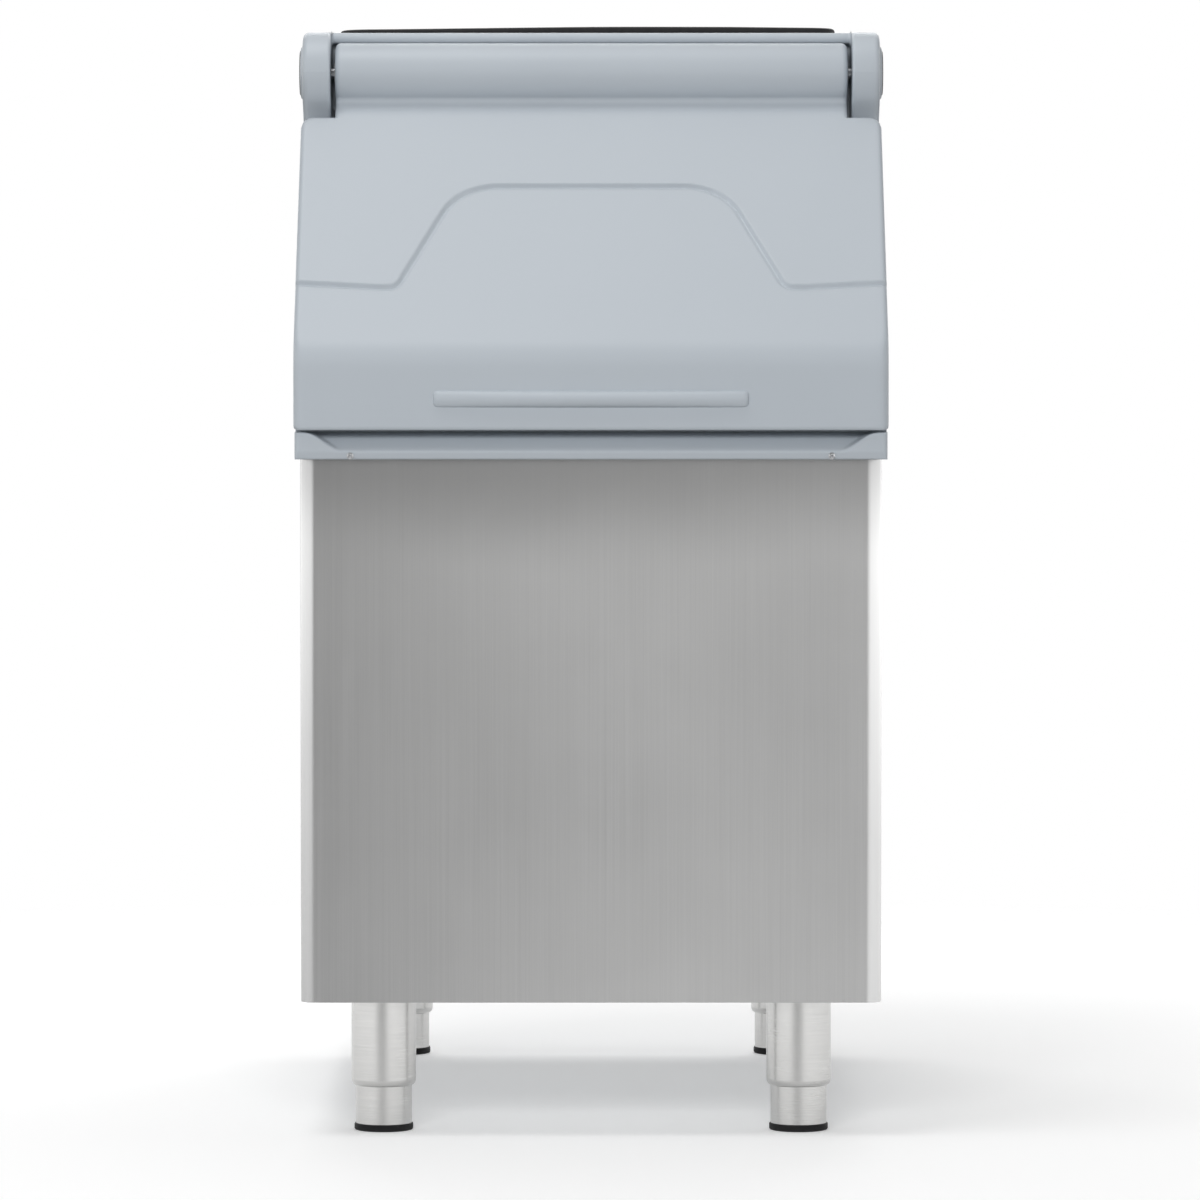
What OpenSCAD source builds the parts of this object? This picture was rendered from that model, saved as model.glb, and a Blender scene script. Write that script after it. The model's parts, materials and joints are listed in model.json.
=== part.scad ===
// Free-standing ice storage bin: an insulated steel cabinet on four adjustable legs, with a sloping
// lift-up door hung on a round barrel, and an open deck on which an ice maker stands.
// Millimetres. +Z is up, the front faces -Y, +X is the right-hand side seen from the front, and
// the origin is on the floor under the middle of the outline.
// Side profiles are drawn as [depth, height], where depth counts backwards from the steel front.

/* [Cabinet] */
// Width of the steel cabinet
body_w = 560; // [520:1:620]
// Depth from the steel front to the rear panel's outer face
body_d = 850; // [800:1:900]
// Height of the cabinet, from its underside to the deck
cabinet_h = 940; // [925:1:970]
// Height of the steel front below the grey lip
front_h = 524; // [500:1:535]
// Outer radius of the steel wrap's two front corners
corner_r = 15; // [8:1:25]
// Thickness of the steel sheets
sheet_t = 1; // [0.8:0.1:1.5]
// Width of the wrap's folded rear flanges
flange_w = 18; // [14:1:24]
// Thickness of the insulation in the walls and floor
foam_t = 38; // [34:1:46]
// Thickness of the insulation above the roof of the liner
roof_foam_t = 30; // [20:1:36]
// Wall of the plastic liner
liner_t = 3; // [2.5:0.5:4]
// Outer radius of the liner's upright corners
liner_r = 30; // [15:1:45]

/* [Front frame] */
// Lean of the sloping front from the vertical, in degrees
slope_a = 42; // [40:1:44]
// Wall of the grey front frame
frame_t = 4; // [3:0.5:6]
// How far the frame and deck stand out past the steel sides
frame_over = 4; // [2:0.5:6]
// Depth of the frame's skirts over the steel sides
skirt_t = 22; // [14:1:30]
// How far the lip stands ahead of the steel front
lip_out = 25; // [18:1:28]
// Height from the lip's underside to the door's lower edge
lip_h = 28; // [22:1:34]
// Height of the plain band below the finger scoop
lip_band = 7; // [6:0.5:9]
// Running gap between the lip and the door
lip_gap = 2; // [1.5:0.5:4]
// Width of the finger scoop at its foot
scoop_w = 464; // [300:1:480]
// Slant of each end of the scoop, measured across
scoop_slant = 30; // [10:1:34]
// Radius of the two hinge ears
ear_r = 40; // [38:1:44]
// Width of a hinge ear
ear_w = 27.5; // [24:0.5:32]
// How far the door stands out past the steel side
side_over = 5; // [4:0.5:8]
// Thickness of the crossbar above the barrel, and of the deck
bar_t = 10.5; // [8:0.5:11]
// Width of the flat top of the crossbar
bar_w = 48; // [40:1:60]
// Front of the crossbar's round nose behind the hinge axis
nose_back = 8; // [8:0.5:11]
// Width of the mouth that the door closes
mouth_w = 460; // [400:1:466]
// Upper edge of the mouth, down the slope from the hinge axis
mouth_top = 45; // [42:1:60]
// Corner radius of the mouth
mouth_r = 14; // [6:1:24]

/* [Door] */
// Height of the door's upright lower face, up to where the sloping face meets it
upright_h = 75.4; // [66:0.2:84]
// Radius of the door's barrel
barrel_r = 29.5; // [27:0.5:31]
// Gap between a barrel end and its ear
barrel_gap = 6.5; // [5:0.5:8]
// Clearance behind the barrel
trough_gap = 5.5; // [4:0.5:8]
// Raised face of the door, inwards from the hinge axis
plane_in = 4.8; // [4:0.2:6]
// Height of the moulded step between the raised and the lower face
step_h = 2.2; // [1.5:0.1:3]
// Thickness of the sloping part of the door, from its lower face
door_t = 36; // [34:1:40]
// Thickness of the door's upright lower part
door_low_t = 30; // [26:1:32]
// Wall of the door's outer skin
skin_t = 3.5; // [3:0.5:4.5]
// Thickness of the door's inner skin
inner_t = 3; // [2.5:0.5:4]
// Narrow neck below the barrel, measured down the slope from the axis
neck_l = 53; // [52:1:64]
// Radius of the door's outer shoulders
shoulder_r = 13; // [5:1:16]
// Fillet between the barrel and the raised face
neck_fillet = 10; // [8:1:12]
// Upright lower face ahead of the steel front
face_out = 30; // [28:1:34]
// Radius of the bend between the sloping and the upright face
bend_r = 40; // [38:1:60]
// Gap between the door's inner skin and the frame, filled by the gasket
seal_gap = 4; // [3:0.5:6]
// Width of the door gasket
seal_w = 10; // [8:1:11]
// Gap between the mouth's edge and the door gasket
seal_in = 5; // [4:1:6]
// Play between the resting gasket and the frame
seal_play = 0.3; // [0.2:0.05:0.5]

/* [Door pattern] */
// Upper line of the moulded step, as a share of the way down the slope from the axis
step_top_share = 0.402; // [0.35:0.01:0.45]
// Lower lines of the moulded step, as a share of the same way
step_low_share = 0.763; // [0.7:0.01:0.8]
// Width between the upper corners of the step
step_top_w = 258; // [200:1:300]
// Width between the lower corners of the step
step_low_w = 374; // [330:1:420]
// Rounding of the step's upper corners
step_top_r = 60; // [20:1:70]
// Rounding of the step's lower corners
step_low_r = 15; // [6:1:25]
// Length of the finger rib
rib_w = 302; // [240:1:360]
// Height of the finger rib
rib_h = 16; // [12:1:20]
// How far the rib stands out of the upright face
rib_out = 8; // [6:0.5:10]
// How far the rib's ends stand out of the upright face
rib_end_out = 4; // [3:0.5:5]
// Middle of the rib above the door's lower edge
rib_up = 30; // [24:1:36]

/* [Hinge] */
// Radius of a hinge pin
pin_r = 5; // [4:0.5:6]
// Radius of a hinge pin's head
pin_head_r = 8.5; // [8:0.1:9.5]
// Thickness of a hinge pin's head
pin_head_t = 3; // [2:0.5:4]
// Running clearance of a pin in its bush
pin_clear = 0.05; // [0.03:0.01:0.1]
// Outer radius of a door bush
bush_r = 8; // [7:0.5:10]
// Length of a bush inside the barrel
bush_l = 28; // [20:1:32]
// Radius of a bush's flange
bush_flange_r = 11; // [10.5:0.5:14]
// Thickness of a bush's flange
bush_flange_t = 3; // [2:0.5:4]
// Solid end of the barrel
barrel_end = 36; // [34:1:44]
// Radius of a hinge cap
cap_r = 23.5; // [20:0.5:26]
// How far a cap stands out of its ear
cap_out = 3.5; // [2:0.1:4]
// Length of a cap's spigot
cap_spigot = 2; // [1.5:0.5:3]

/* [Deck] */
// Width of the opening through which ice drops in
drop_w = 400; // [320:1:420]
// Depth of the opening through which ice drops in
drop_d = 330; // [260:1:350]
// Rear edge of the drop opening, ahead of the rear panel
drop_back = 140; // [120:1:170]
// Height of the black gasket on the deck
gasket_h = 7; // [5:0.5:9]
// Width of the gasket's strip
gasket_w = 14; // [10:1:18]
// Width over the gasket ring
gasket_span = 484; // [460:1:490]
// Front of the gasket ring behind the crossbar's front
gasket_in = 18; // [12:1:26]
// Gasket ring ahead of the rear panel
gasket_back = 34; // [20:1:60]
// Corner radius of the gasket ring
gasket_r = 30; // [16:1:50]
// Distance across between the deck's threaded inserts
insert_span_x = 524; // [516:1:530]
// Front inserts behind the crossbar
insert_front = 33; // [10:1:60]
// Rear inserts ahead of the rear panel
insert_back = 55; // [30:1:70]
// Thread radius of an insert
insert_bore_r = 3; // [2:0.5:4]
// Outer radius of an insert
insert_r = 5; // [4.5:0.5:7]
// Length of an insert
insert_l = 8; // [5:0.5:8]

/* [Inside] */
// Gap between an end of the ice baffle and the liner's side
baffle_gap = 18; // [12:1:80]
// Thickness of the ice baffle
baffle_t = 2.5; // [2:0.5:4]
// Length of the baffle's hanging part
baffle_drop = 150; // [90:1:200]
// Distance between the two baffle screws
baffle_screw_span = 300; // [200:1:380]

/* [Drain] */
// Drain centre ahead of the rear panel
drain_in = 130; // [124:1:160]
// Outer radius of the drain fitting's threaded body
drain_r = 13; // [12.5:0.5:15]
// Outer radius of the spigot below the nut
spigot_r = 12; // [11:0.5:12]
// Bore radius of the drain
drain_bore_r = 9.5; // [8:0.5:10]
// Radius of the drain flange
drain_flange_r = 30; // [24:1:38]
// Thickness of the drain flange
drain_flange_t = 3; // [2:0.5:5]
// Thickness of the drain seal
drain_seal_t = 2; // [1.5:0.5:3]
// Length of the spigot below the cabinet
drain_drop = 40; // [30:1:50]
// Thickness of the drain nut
drain_nut_t = 8; // [5:1:10]
// Distance across the corners of the drain nut, halved
drain_nut_r = 21; // [19:0.5:26]
// Thickness of the strainer
strainer_t = 1.2; // [0.8:0.1:2]

/* [Legs] */
// Clear height under the cabinet
leg_h = 131; // [125:1:140]
// Leg centre in from the steel side
leg_in_x = 78; // [70:1:90]
// Front leg centre behind the steel front
leg_in_front = 75; // [70:1:100]
// Rear leg centre ahead of the rear panel
leg_in_rear = 58; // [54:1:62]
// Outer radius of a leg tube
tube_r = 31.5; // [29:0.5:34]
// Wall of a leg tube
tube_t = 1.5; // [1.2:0.1:2]
// Lower end of a leg tube above the floor
shoulder_z = 44; // [40:1:50]
// Height of the tube's rolled-in shoulder
shoulder_h = 6; // [4:0.5:8]
// Outer radius of an adjustable foot
foot_r = 27.5; // [25:0.5:28]
// Sliding clearance round a foot
foot_clear = 0.4; // [0.3:0.05:0.6]
// Wall of a foot
foot_t = 2; // [1.5:0.5:3]
// Height of a foot's top above the floor
foot_top = 95; // [85:1:98]
// Radius of a rubber pad
pad_r = 28.75; // [28.5:0.25:31]
// Height of a rubber pad
pad_h = 7; // [5:0.5:9]
// Radius of the threaded stem
stem_r = 8; // [6:0.5:9]
// Radius of the threaded boss that holds the stem
boss_r = 13; // [11:0.5:16]
// Length of the leg plug, from the cabinet to the boss's mouth
boss_l = 55; // [50:1:60]
// Thickness of the plug's disc
plug_t = 8; // [6:0.5:10]
// Radius of the stud that fastens a leg
stud_r = 6; // [5:0.5:8]
// Length of the stud above the cabinet's underside
stud_l = 19; // [18:1:24]
// How far a foot screws up into its leg
foot_up = 12; // [8:1:14]
// Thickness of the two base rails
rail_t = 5; // [4:0.5:7]
// Width of a base rail
rail_w = 84; // [60:1:90]
// Distance across the corners of a leg nut, halved
nut_r = 11; // [10:0.5:13]
// Thickness of a leg nut
nut_t = 9; // [7:0.5:11]

/* [Screws] */
// Shank radius of the small screws
screw_r = 2; // [1.5:0.1:2.4]
// Head radius of the small screws
screw_head_r = 3.3; // [2.8:0.1:3.6]
// Head thickness of the small screws
screw_head_t = 2; // [1.4:0.1:2.5]
// Clearance round shanks and other fixed round parts
hole_clear = 0.1; // [0.05:0.05:0.3]
// Distance between the two lip screws
lip_screw_span = 461; // [380:1:500]
// Length of a lip screw
lip_screw_l = 16; // [10:1:22]
// Length of a door screw
door_screw_l = 12; // [8:1:16]
// Length of a rear panel screw
rear_screw_l = 6; // [5:1:12]
// Number of rear panel screws on each side
rear_screws_n = 4; // [2:1:6]

/* [Hidden] */
// Gap left so that a cut runs clear of a face
cut = 1;
// Arc steps of small and large roundings
steps = 6;
bend_steps = 10;
$fn = 64;

slope_s = sin(slope_a);
slope_c = cos(slope_a);
half_w = body_w / 2;
deck_z = leg_h + cabinet_h;
bar_z = deck_z - bar_t;
axis_z = deck_z - ear_r;
lip_z = leg_h + front_h;
door_z = lip_z + lip_h;
front_reach = face_out + rib_out;
mid_d = (body_d + screw_head_t - front_reach) / 2;

// Planes of the slope, as distances outwards from the hinge axis
raised_o = -plane_in;
face_o = raised_o - step_h;
back_o = face_o - door_t;
seat_o = back_o - seal_gap;
// Way down the slope from the hinge axis to the upright face, and the axis's depth that follows
slope_l = (axis_z + slope_s * face_o - door_z - upright_h) / slope_c;
axis_d = slope_s * slope_l + slope_c * face_o - face_out;
step_top = step_top_share * slope_l;
step_low = step_low_share * slope_l;
// The same surfaces on the upright stretch and behind the barrel, as depths
low_back = door_low_t - face_out;
seat_d = low_back + seal_gap;
trough_d = axis_d + barrel_r + trough_gap;

// A point t down the slope from the hinge axis and o outwards from it
function at(t, o) = [axis_d - slope_s * t - slope_c * o, axis_z - slope_c * t + slope_s * o];
// How far down the slope the plane o reaches depth d, or height z
function t_at(d, o) = (axis_d - slope_c * o - d) / slope_s;
function t_up(z, o) = (axis_z + slope_s * o - z) / slope_c;
function meet(d, o) = at(t_at(d, o), o);
function backwards(list) = [for (i = [len(list) - 1 : -1 : 0]) list[i]];
function arc(centre, r, from, to, n) =
    [for (i = [0 : n]) let (a = from + (to - from) * i / n) centre + r * [cos(a), sin(a)]];
// Corner points of a rectangle with rounded corners
function round_rect(x0, y0, x1, y1, r) = concat(
    arc([x1 - r, y1 - r], r, 0, 90, steps),
    arc([x0 + r, y1 - r], r, 90, 180, steps),
    arc([x0 + r, y0 + r], r, 180, 270, steps),
    arc([x1 - r, y0 + r], r, 270, 360, steps));
// A rounded corner p between the neighbours a and b, where the lines turn
function corner(a, p, b, r) =
    let (u = (a - p) / norm(a - p), v = (b - p) / norm(b - p),
         half = acos(u * v) / 2, m = (u + v) / norm(u + v), centre = p + m * r / sin(half),
         from = atan2((p + u * r / tan(half) - centre)[1], (p + u * r / tan(half) - centre)[0]),
         to = atan2((p + v * r / tan(half) - centre)[1], (p + v * r / tan(half) - centre)[0]),
         turn = to - from > 180 ? to - from - 360 : to - from < -180 ? to - from + 360 : to - from)
    arc(centre, r, from, from + turn, steps);

// The frame's front surface, or the same line set back by b
function seat_line(b) = [
    [seat_d + b, lip_z],
    meet(seat_d + b, seat_o - b),
    meet(trough_d + b, seat_o - b),
    [trough_d + b, bar_z]];
// The door's outer line from t down to its lower edge, set in by b
function door_line(t, b) = concat(
    [at(t, face_o - b)],
    arc(meet(bend_r - face_out, face_o - bend_r), bend_r - b, 180 - slope_a, 180, bend_steps),
    [[b - face_out, door_z + b]]);
// The door's inner line from t down to height z, set towards the outer face by b
function back_line(t, b, z) = [at(t, back_o + b), meet(low_back - b, back_o + b), [low_back - b, z]];

// Half widths
frame_half = half_w + frame_over;
ear_in = frame_half - ear_w;
barrel_half = ear_in - barrel_gap;
door_half = half_w + side_over;
liner_half = half_w - sheet_t - foam_t;

// Liner, seen from the side
liner_front = sheet_t + foam_t;
liner_rear = body_d - 2 * sheet_t - foam_t;
liner_floor = leg_h + sheet_t + foam_t;
liner_roof = bar_z - roof_foam_t;
mouth_margin = 4;
mouth_low = t_at(liner_front + liner_t, seat_o - frame_t - liner_t) - mouth_margin;

// Ice baffle: its width, and the plane of the slope it hangs on, just inside the liner
baffle_w = 2 * (liner_half - liner_t - baffle_gap);
baffle_o = seat_o - frame_t - liner_t - hole_clear;

// Crossbar: its rounded nose nests in the door's neck fillet when the door is fully open
nose_r = bar_t / 2;
fillet_t = sqrt(pow(barrel_r + neck_fillet, 2) - pow(neck_fillet - plane_in, 2));
nose_d = axis_d + nose_back;
bar_back = nose_d + bar_w;

// Deck
gasket_front = nose_d + gasket_in;
insert_span_y = body_d - insert_back - bar_back - insert_front;

// Legs
leg_x = half_w - leg_in_x;
leg_front = leg_in_front;
leg_rear = body_d - leg_in_rear;
foot_plate = 3;
stem_room = 3;
stem_top = leg_h - plug_t - foot_up - stem_room;
base_z = leg_h + sheet_t;

// Drain and drop opening
drain_d = body_d - drain_in;
drop_rear = body_d - drop_back;
drop_front = drop_rear - drop_d;
floor_z = liner_floor + liner_t;

// Screws: the door's stand midway between the gasket and the inner skin's edge, and the baffle's
// bite into this share of the frame's wall
lip_screw_z = lip_z + lip_band / 2;
rear_screw_x = half_w - sheet_t - flange_w / 2;
rear_screw_margin = 60;
door_seal_x = mouth_w / 2 + seal_in;
door_screw_x = (door_seal_x + seal_w + door_half - skin_t) / 2;
door_screw_ts = [for (share = [0.25, 0.53, 0.8]) share * slope_l];
screw_bite = 0.75;
baffle_screw_t = 8;
baffle_end_t = 38;
baffle_start_t = -22;

// Places what is drawn with depth along Y into the shared frame
module placed() {
    translate([0, -mid_d, 0]) children();
}

// Extrudes a side profile over a width centred on X, or between two values of X
module across(w) {
    translate([-w / 2, 0, 0]) rotate([90, 0, 90]) linear_extrude(w) children();
}

module across_from(x0, x1) {
    translate([x0, 0, 0]) rotate([90, 0, 90]) linear_extrude(x1 - x0) children();
}

// Local frame on the hinge axis: Y runs up the slope and Z outwards
module on_slope() {
    translate([0, axis_d, axis_z]) rotate([90 - slope_a, 0, 0]) children();
}

// A round bar along X between two values of X, on the hinge axis
module on_axis(x0, x1, r) {
    translate([x0, axis_d, axis_z]) rotate([0, 90, 0]) cylinder(r = r, h = x1 - x0);
}

// Side outline of the steel body, from height z0 to the deck's underside
module body_side(z0, d0, d1) {
    line = seat_line(frame_t);
    polygon(concat([[d0, z0], [d0, lip_z]], line, [[d1, bar_z], [d1, z0]]));
}

// Plan of the steel body with its rounded front corners, set in by b
module body_plan(b, d1) {
    r = corner_r - b;
    x = half_w - b;
    polygon(concat(
        [[x, d1]],
        arc([x - r, b + r], r, 0, -90, steps),
        arc([r - x, b + r], r, 270, 180, steps),
        [[-x, d1]]));
}

module outer_wrap() {
    color("silver") placed() {
        difference() {
            intersection() {
                across(body_w + 2 * cut) body_side(leg_h, 0, body_d - sheet_t);
                translate([0, 0, leg_h - cut])
                    linear_extrude(cabinet_h + 2 * cut) body_plan(0, body_d - sheet_t);
            }
            translate([0, 0, leg_h - 2 * cut])
                linear_extrude(cabinet_h + 4 * cut) body_plan(sheet_t, body_d + cut);
            for (x = [-lip_screw_span / 2, lip_screw_span / 2]) lip_screw_hole(x);
        }
        for (side = [-1, 1]) rear_flange(side);
    }
}

// One folded flange behind which the rear panel is screwed
module rear_flange(side) {
    x0 = side > 0 ? half_w - sheet_t - flange_w : -half_w;
    difference() {
        translate([x0, body_d - 2 * sheet_t, leg_h + sheet_t])
            cube([flange_w + sheet_t, sheet_t, bar_z - leg_h - sheet_t]);
        rear_screw_holes();
    }
}

function rear_screw_z(i) =
    leg_h + rear_screw_margin + i * (bar_z - leg_h - 2 * rear_screw_margin) / (rear_screws_n - 1);

module at_rear_screws() {
    for (side = [-1, 1], i = [0 : rear_screws_n - 1])
        translate([side * rear_screw_x, body_d, rear_screw_z(i)]) children();
}

module rear_screw_holes() {
    at_rear_screws() rotate([90, 0, 0]) translate([0, 0, -cut])
        cylinder(r = screw_r + hole_clear, h = 2 * sheet_t + 2 * cut);
}

module rear_panel() {
    color("gainsboro") placed() difference() {
        translate([-half_w, body_d - sheet_t, leg_h]) cube([body_w, sheet_t, bar_z - leg_h]);
        rear_screw_holes();
    }
}

module rear_screws() {
    color("dimgray") placed() at_rear_screws() {
        rotate([-90, 0, 0]) cylinder(r = screw_head_r, h = screw_head_t);
        rotate([90, 0, 0]) cylinder(r = screw_r, h = rear_screw_l);
    }
}

module at_legs() {
    for (x = [-leg_x, leg_x], d = [leg_front, leg_rear]) translate([x, d, 0]) children();
}

module bottom_panel() {
    color("gainsboro") placed() difference() {
        translate([0, 0, leg_h]) linear_extrude(sheet_t) body_plan(sheet_t, body_d - sheet_t);
        at_legs() translate([0, 0, leg_h - cut])
            cylinder(r = stud_r + hole_clear, h = sheet_t + 2 * cut);
        drain_hole(leg_h - cut, base_z + cut);
    }
}

module base_rail(d) {
    color("slategray") placed() difference() {
        translate([-liner_half, d - rail_w / 2, base_z]) cube([2 * liner_half, rail_w, rail_t]);
        for (x = [-leg_x, leg_x])
            translate([x, d, base_z - cut]) cylinder(r = stud_r + hole_clear, h = rail_t + 2 * cut);
    }
}

module leg_nuts() {
    color("darkgray") placed() at_legs() translate([0, 0, base_z + rail_t]) difference() {
        cylinder(r = nut_r, h = nut_t, $fn = 6);
        translate([0, 0, -cut]) cylinder(r = stud_r + hole_clear, h = nut_t + 2 * cut);
    }
}

// Side outline of the liner, set in by b and standing out past its slope
module liner_side(b, past = 0) {
    o = seat_o - frame_t - b + past;
    polygon([[liner_front + b, liner_floor + b], meet(liner_front + b, o),
        at(t_up(liner_roof - b, o), o), [liner_rear - b, liner_roof - b],
        [liner_rear - b, liner_floor + b]]);
}

module liner_block(b, past = 0) {
    x = liner_half - b;
    intersection() {
        across(2 * x) liner_side(b, past);
        translate([0, 0, leg_h]) linear_extrude(cabinet_h)
            polygon(round_rect(-x, liner_front + b, x, liner_rear - b, liner_r - b));
    }
}

// Square shaft under the drop opening, set in by b
module drop_shaft(b, z0, z1) {
    x = drop_w / 2 + liner_t - b;
    translate([-x, drop_front - liner_t + b, z0])
        cube([2 * x, drop_d + 2 * liner_t - 2 * b, z1 - z0]);
}

module mouth_cut() {
    on_slope() translate([0, 0, seat_o - frame_t - liner_t - cut])
        linear_extrude(frame_t + liner_t + 2 * cut)
            polygon(round_rect(-mouth_w / 2, -mouth_low, mouth_w / 2, -mouth_top, mouth_r));
}

module liner() {
    color("white") placed() difference() {
        union() {
            difference() {
                liner_block(0);
                liner_block(liner_t);
            }
            drop_shaft(0, liner_roof - liner_t / 2, bar_z);
        }
        drop_shaft(liner_t, liner_roof - liner_t - cut, bar_z + cut);
        mouth_cut();
        drain_hole(liner_floor - cut, floor_z + cut);
        baffle_screw_holes();
    }
}

module insulation() {
    color("khaki") placed() difference() {
        intersection() {
            across(body_w) body_side(base_z, sheet_t, body_d - 2 * sheet_t);
            translate([0, 0, leg_h]) linear_extrude(cabinet_h) body_plan(sheet_t, body_d - sheet_t);
        }
        liner_block(0, cut);
        drop_shaft(0, liner_roof - cut, bar_z + cut);
        drain_hole(base_z - cut, liner_floor + cut);
        for (d = [leg_front, leg_rear]) translate([-liner_half, d - rail_w / 2, base_z - cut])
            cube([2 * liner_half, rail_w, rail_t + cut]);
        at_legs() translate([0, 0, base_z])
            cylinder(r = nut_r + hole_clear, h = max(rail_t + nut_t, stud_l - sheet_t) + hole_clear);
        for (x = [-lip_screw_span / 2, lip_screw_span / 2]) lip_screw_hole(x);
        rear_screw_pockets();
    }
}

module rear_screw_pockets() {
    at_rear_screws() rotate([90, 0, 0])
        cylinder(r = screw_r + hole_clear, h = rear_screw_l + hole_clear);
}

// One hinge ear, from the frame's wall round the hinge axis
module ear(side) {
    o = seat_o - frame_t;
    x0 = side > 0 ? ear_in : -frame_half;
    difference() {
        union() {
            on_axis(x0, x0 + ear_w, ear_r);
            across_from(x0, x0 + ear_w) polygon([at(0, 0), at(ear_r, 0), at(ear_r, o),
                meet(trough_d + frame_t, o), [trough_d + frame_t, bar_z], [bar_back, bar_z],
                [bar_back, deck_z], [axis_d, deck_z]]);
        }
        on_axis(x0 - cut, x0 + ear_w + cut, pin_r + pin_clear);
        pin_pocket(side);
        // the round ear ends flush with the back of the frame's wall
        translate([x0 - cut, trough_d + frame_t, axis_z - ear_r])
            cube([ear_w + 2 * cut, ear_r, bar_z - axis_z + ear_r]);
    }
}

// Counterbore for a pin's head and the cap's spigot
module pin_pocket(side) {
    depth = pin_head_t + cap_spigot + hole_clear;
    if (side > 0) on_axis(frame_half - depth, frame_half + cut, pin_head_r + hole_clear);
    else on_axis(-frame_half - cut, depth - frame_half, pin_head_r + hole_clear);
}

// Shell of the frame: a bent wall, two side skirts and the lip
module frame_wall() {
    across(2 * frame_half) polygon(concat(seat_line(0), backwards(seat_line(frame_t))));
    for (side = [-1, 1])
        across_from(side > 0 ? half_w : -frame_half, side > 0 ? frame_half : -half_w)
            polygon(concat(seat_line(0), backwards(seat_line(skirt_t))));
    across(2 * frame_half) polygon([[-lip_out, lip_z], [-lip_out, door_z - lip_gap],
        [seat_d + frame_t / 2, door_z - lip_gap], [seat_d + frame_t / 2, lip_z]]);
}

module crossbar() {
    across(2 * frame_half) polygon(concat(
        arc([nose_d + nose_r, bar_z + nose_r], nose_r, 90, 270, steps),
        [[bar_back, bar_z], [bar_back, deck_z]]));
}

// The concave finger scoop over the lip's band
module scoop() {
    z0 = lip_z + lip_band;
    rise = door_z - z0;
    scoop_wall = 5;
    reach = lip_out - scoop_wall;
    intersection() {
        across(scoop_w + 2 * scoop_slant) polygon(concat(
            [[-lip_out - cut, z0]],
            [for (i = [0 : bend_steps]) let (a = 90 * i / bend_steps)
                [-lip_out + reach * sin(a), z0 + rise * (1 - cos(a))]],
            [[reach - lip_out, door_z + cut], [-lip_out - cut, door_z + cut]]));
        translate([0, cut, 0]) rotate([90, 0, 0]) linear_extrude(lip_out + 2 * cut)
            polygon([[-scoop_w / 2, z0 - cut], [scoop_w / 2, z0 - cut],
                [scoop_w / 2 + scoop_slant, door_z], [scoop_w / 2 + scoop_slant, door_z + cut],
                [-scoop_w / 2 - scoop_slant, door_z + cut], [-scoop_w / 2 - scoop_slant, door_z]]);
    }
}

module lip_screw_hole(x) {
    translate([x, -lip_out - cut, lip_screw_z]) rotate([-90, 0, 0])
        cylinder(r = screw_r + hole_clear, h = lip_screw_l + cut + hole_clear);
}

module front_frame() {
    color("#bcc4cb") placed() difference() {
        union() {
            frame_wall();
            crossbar();
            ear(-1);
            ear(1);
        }
        scoop();
        mouth_cut();
        for (x = [-lip_screw_span / 2, lip_screw_span / 2]) lip_screw_hole(x);
        baffle_screw_holes();
    }
}

module lip_screws() {
    color("gray") placed() for (x = [-lip_screw_span / 2, lip_screw_span / 2])
        translate([x, -lip_out, lip_screw_z]) {
            rotate([90, 0, 0]) cylinder(r = screw_head_r, h = screw_head_t / 2);
            rotate([-90, 0, 0]) cylinder(r = screw_r, h = lip_screw_l);
        }
}

module at_inserts() {
    for (x = [-insert_span_x / 2, insert_span_x / 2], d = [0, insert_span_y])
        translate([x, body_d - insert_back - d, deck_z - insert_l]) children();
}

module top_panel() {
    color("#bcc4cb") placed() difference() {
        translate([-frame_half, bar_back, bar_z]) cube([2 * frame_half, body_d - bar_back, bar_t]);
        drop_shaft(liner_t, bar_z - cut, deck_z + cut);
        at_inserts() cylinder(r = insert_r + hole_clear, h = insert_l + cut);
    }
}

module deck_inserts() {
    color("goldenrod") placed() at_inserts() difference() {
        cylinder(r = insert_r, h = insert_l);
        translate([0, 0, cut]) cylinder(r = insert_bore_r, h = insert_l);
    }
}

module top_gasket() {
    x = gasket_span / 2;
    d1 = body_d - gasket_back;
    color("#202224") placed() translate([0, 0, deck_z]) difference() {
        linear_extrude(gasket_h) polygon(round_rect(-x, gasket_front, x, d1, gasket_r));
        translate([0, 0, -cut]) linear_extrude(gasket_h + 2 * cut) polygon(round_rect(gasket_w - x,
            gasket_front + gasket_w, x - gasket_w, d1 - gasket_w, gasket_r - gasket_w));
    }
}

// Baffle screws stand square to the slope, from inside the liner into the frame
module baffle_screw_holes() {
    for (x = [-baffle_screw_span / 2, baffle_screw_span / 2]) on_slope()
        translate([x, -baffle_screw_t, seat_o - frame_t - liner_t - cut])
            cylinder(r = screw_r + hole_clear, h = liner_t + cut + frame_t * screw_bite + hole_clear);
}

module ice_baffle() {
    o1 = baffle_o - baffle_t;
    knee = at(baffle_end_t, baffle_o);
    low = knee[1] - baffle_drop;
    color("whitesmoke") placed() difference() {
        across(baffle_w) polygon([at(baffle_start_t, baffle_o), knee, [knee[0], low],
            [knee[0] + baffle_t, low], meet(knee[0] + baffle_t, o1), at(baffle_start_t, o1)]);
        for (x = [-baffle_screw_span / 2, baffle_screw_span / 2]) on_slope()
            translate([x, -baffle_screw_t, o1 - cut])
                cylinder(r = screw_r + hole_clear, h = baffle_t + 2 * cut);
    }
}

module baffle_screws() {
    color("gray") placed() for (x = [-baffle_screw_span / 2, baffle_screw_span / 2])
        on_slope() translate([x, -baffle_screw_t, baffle_o - baffle_t]) {
            cylinder(r = screw_r, h = baffle_t + liner_t + frame_t * screw_bite);
            translate([0, 0, -screw_head_t]) cylinder(r = screw_head_r, h = screw_head_t);
        }
}

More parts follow.
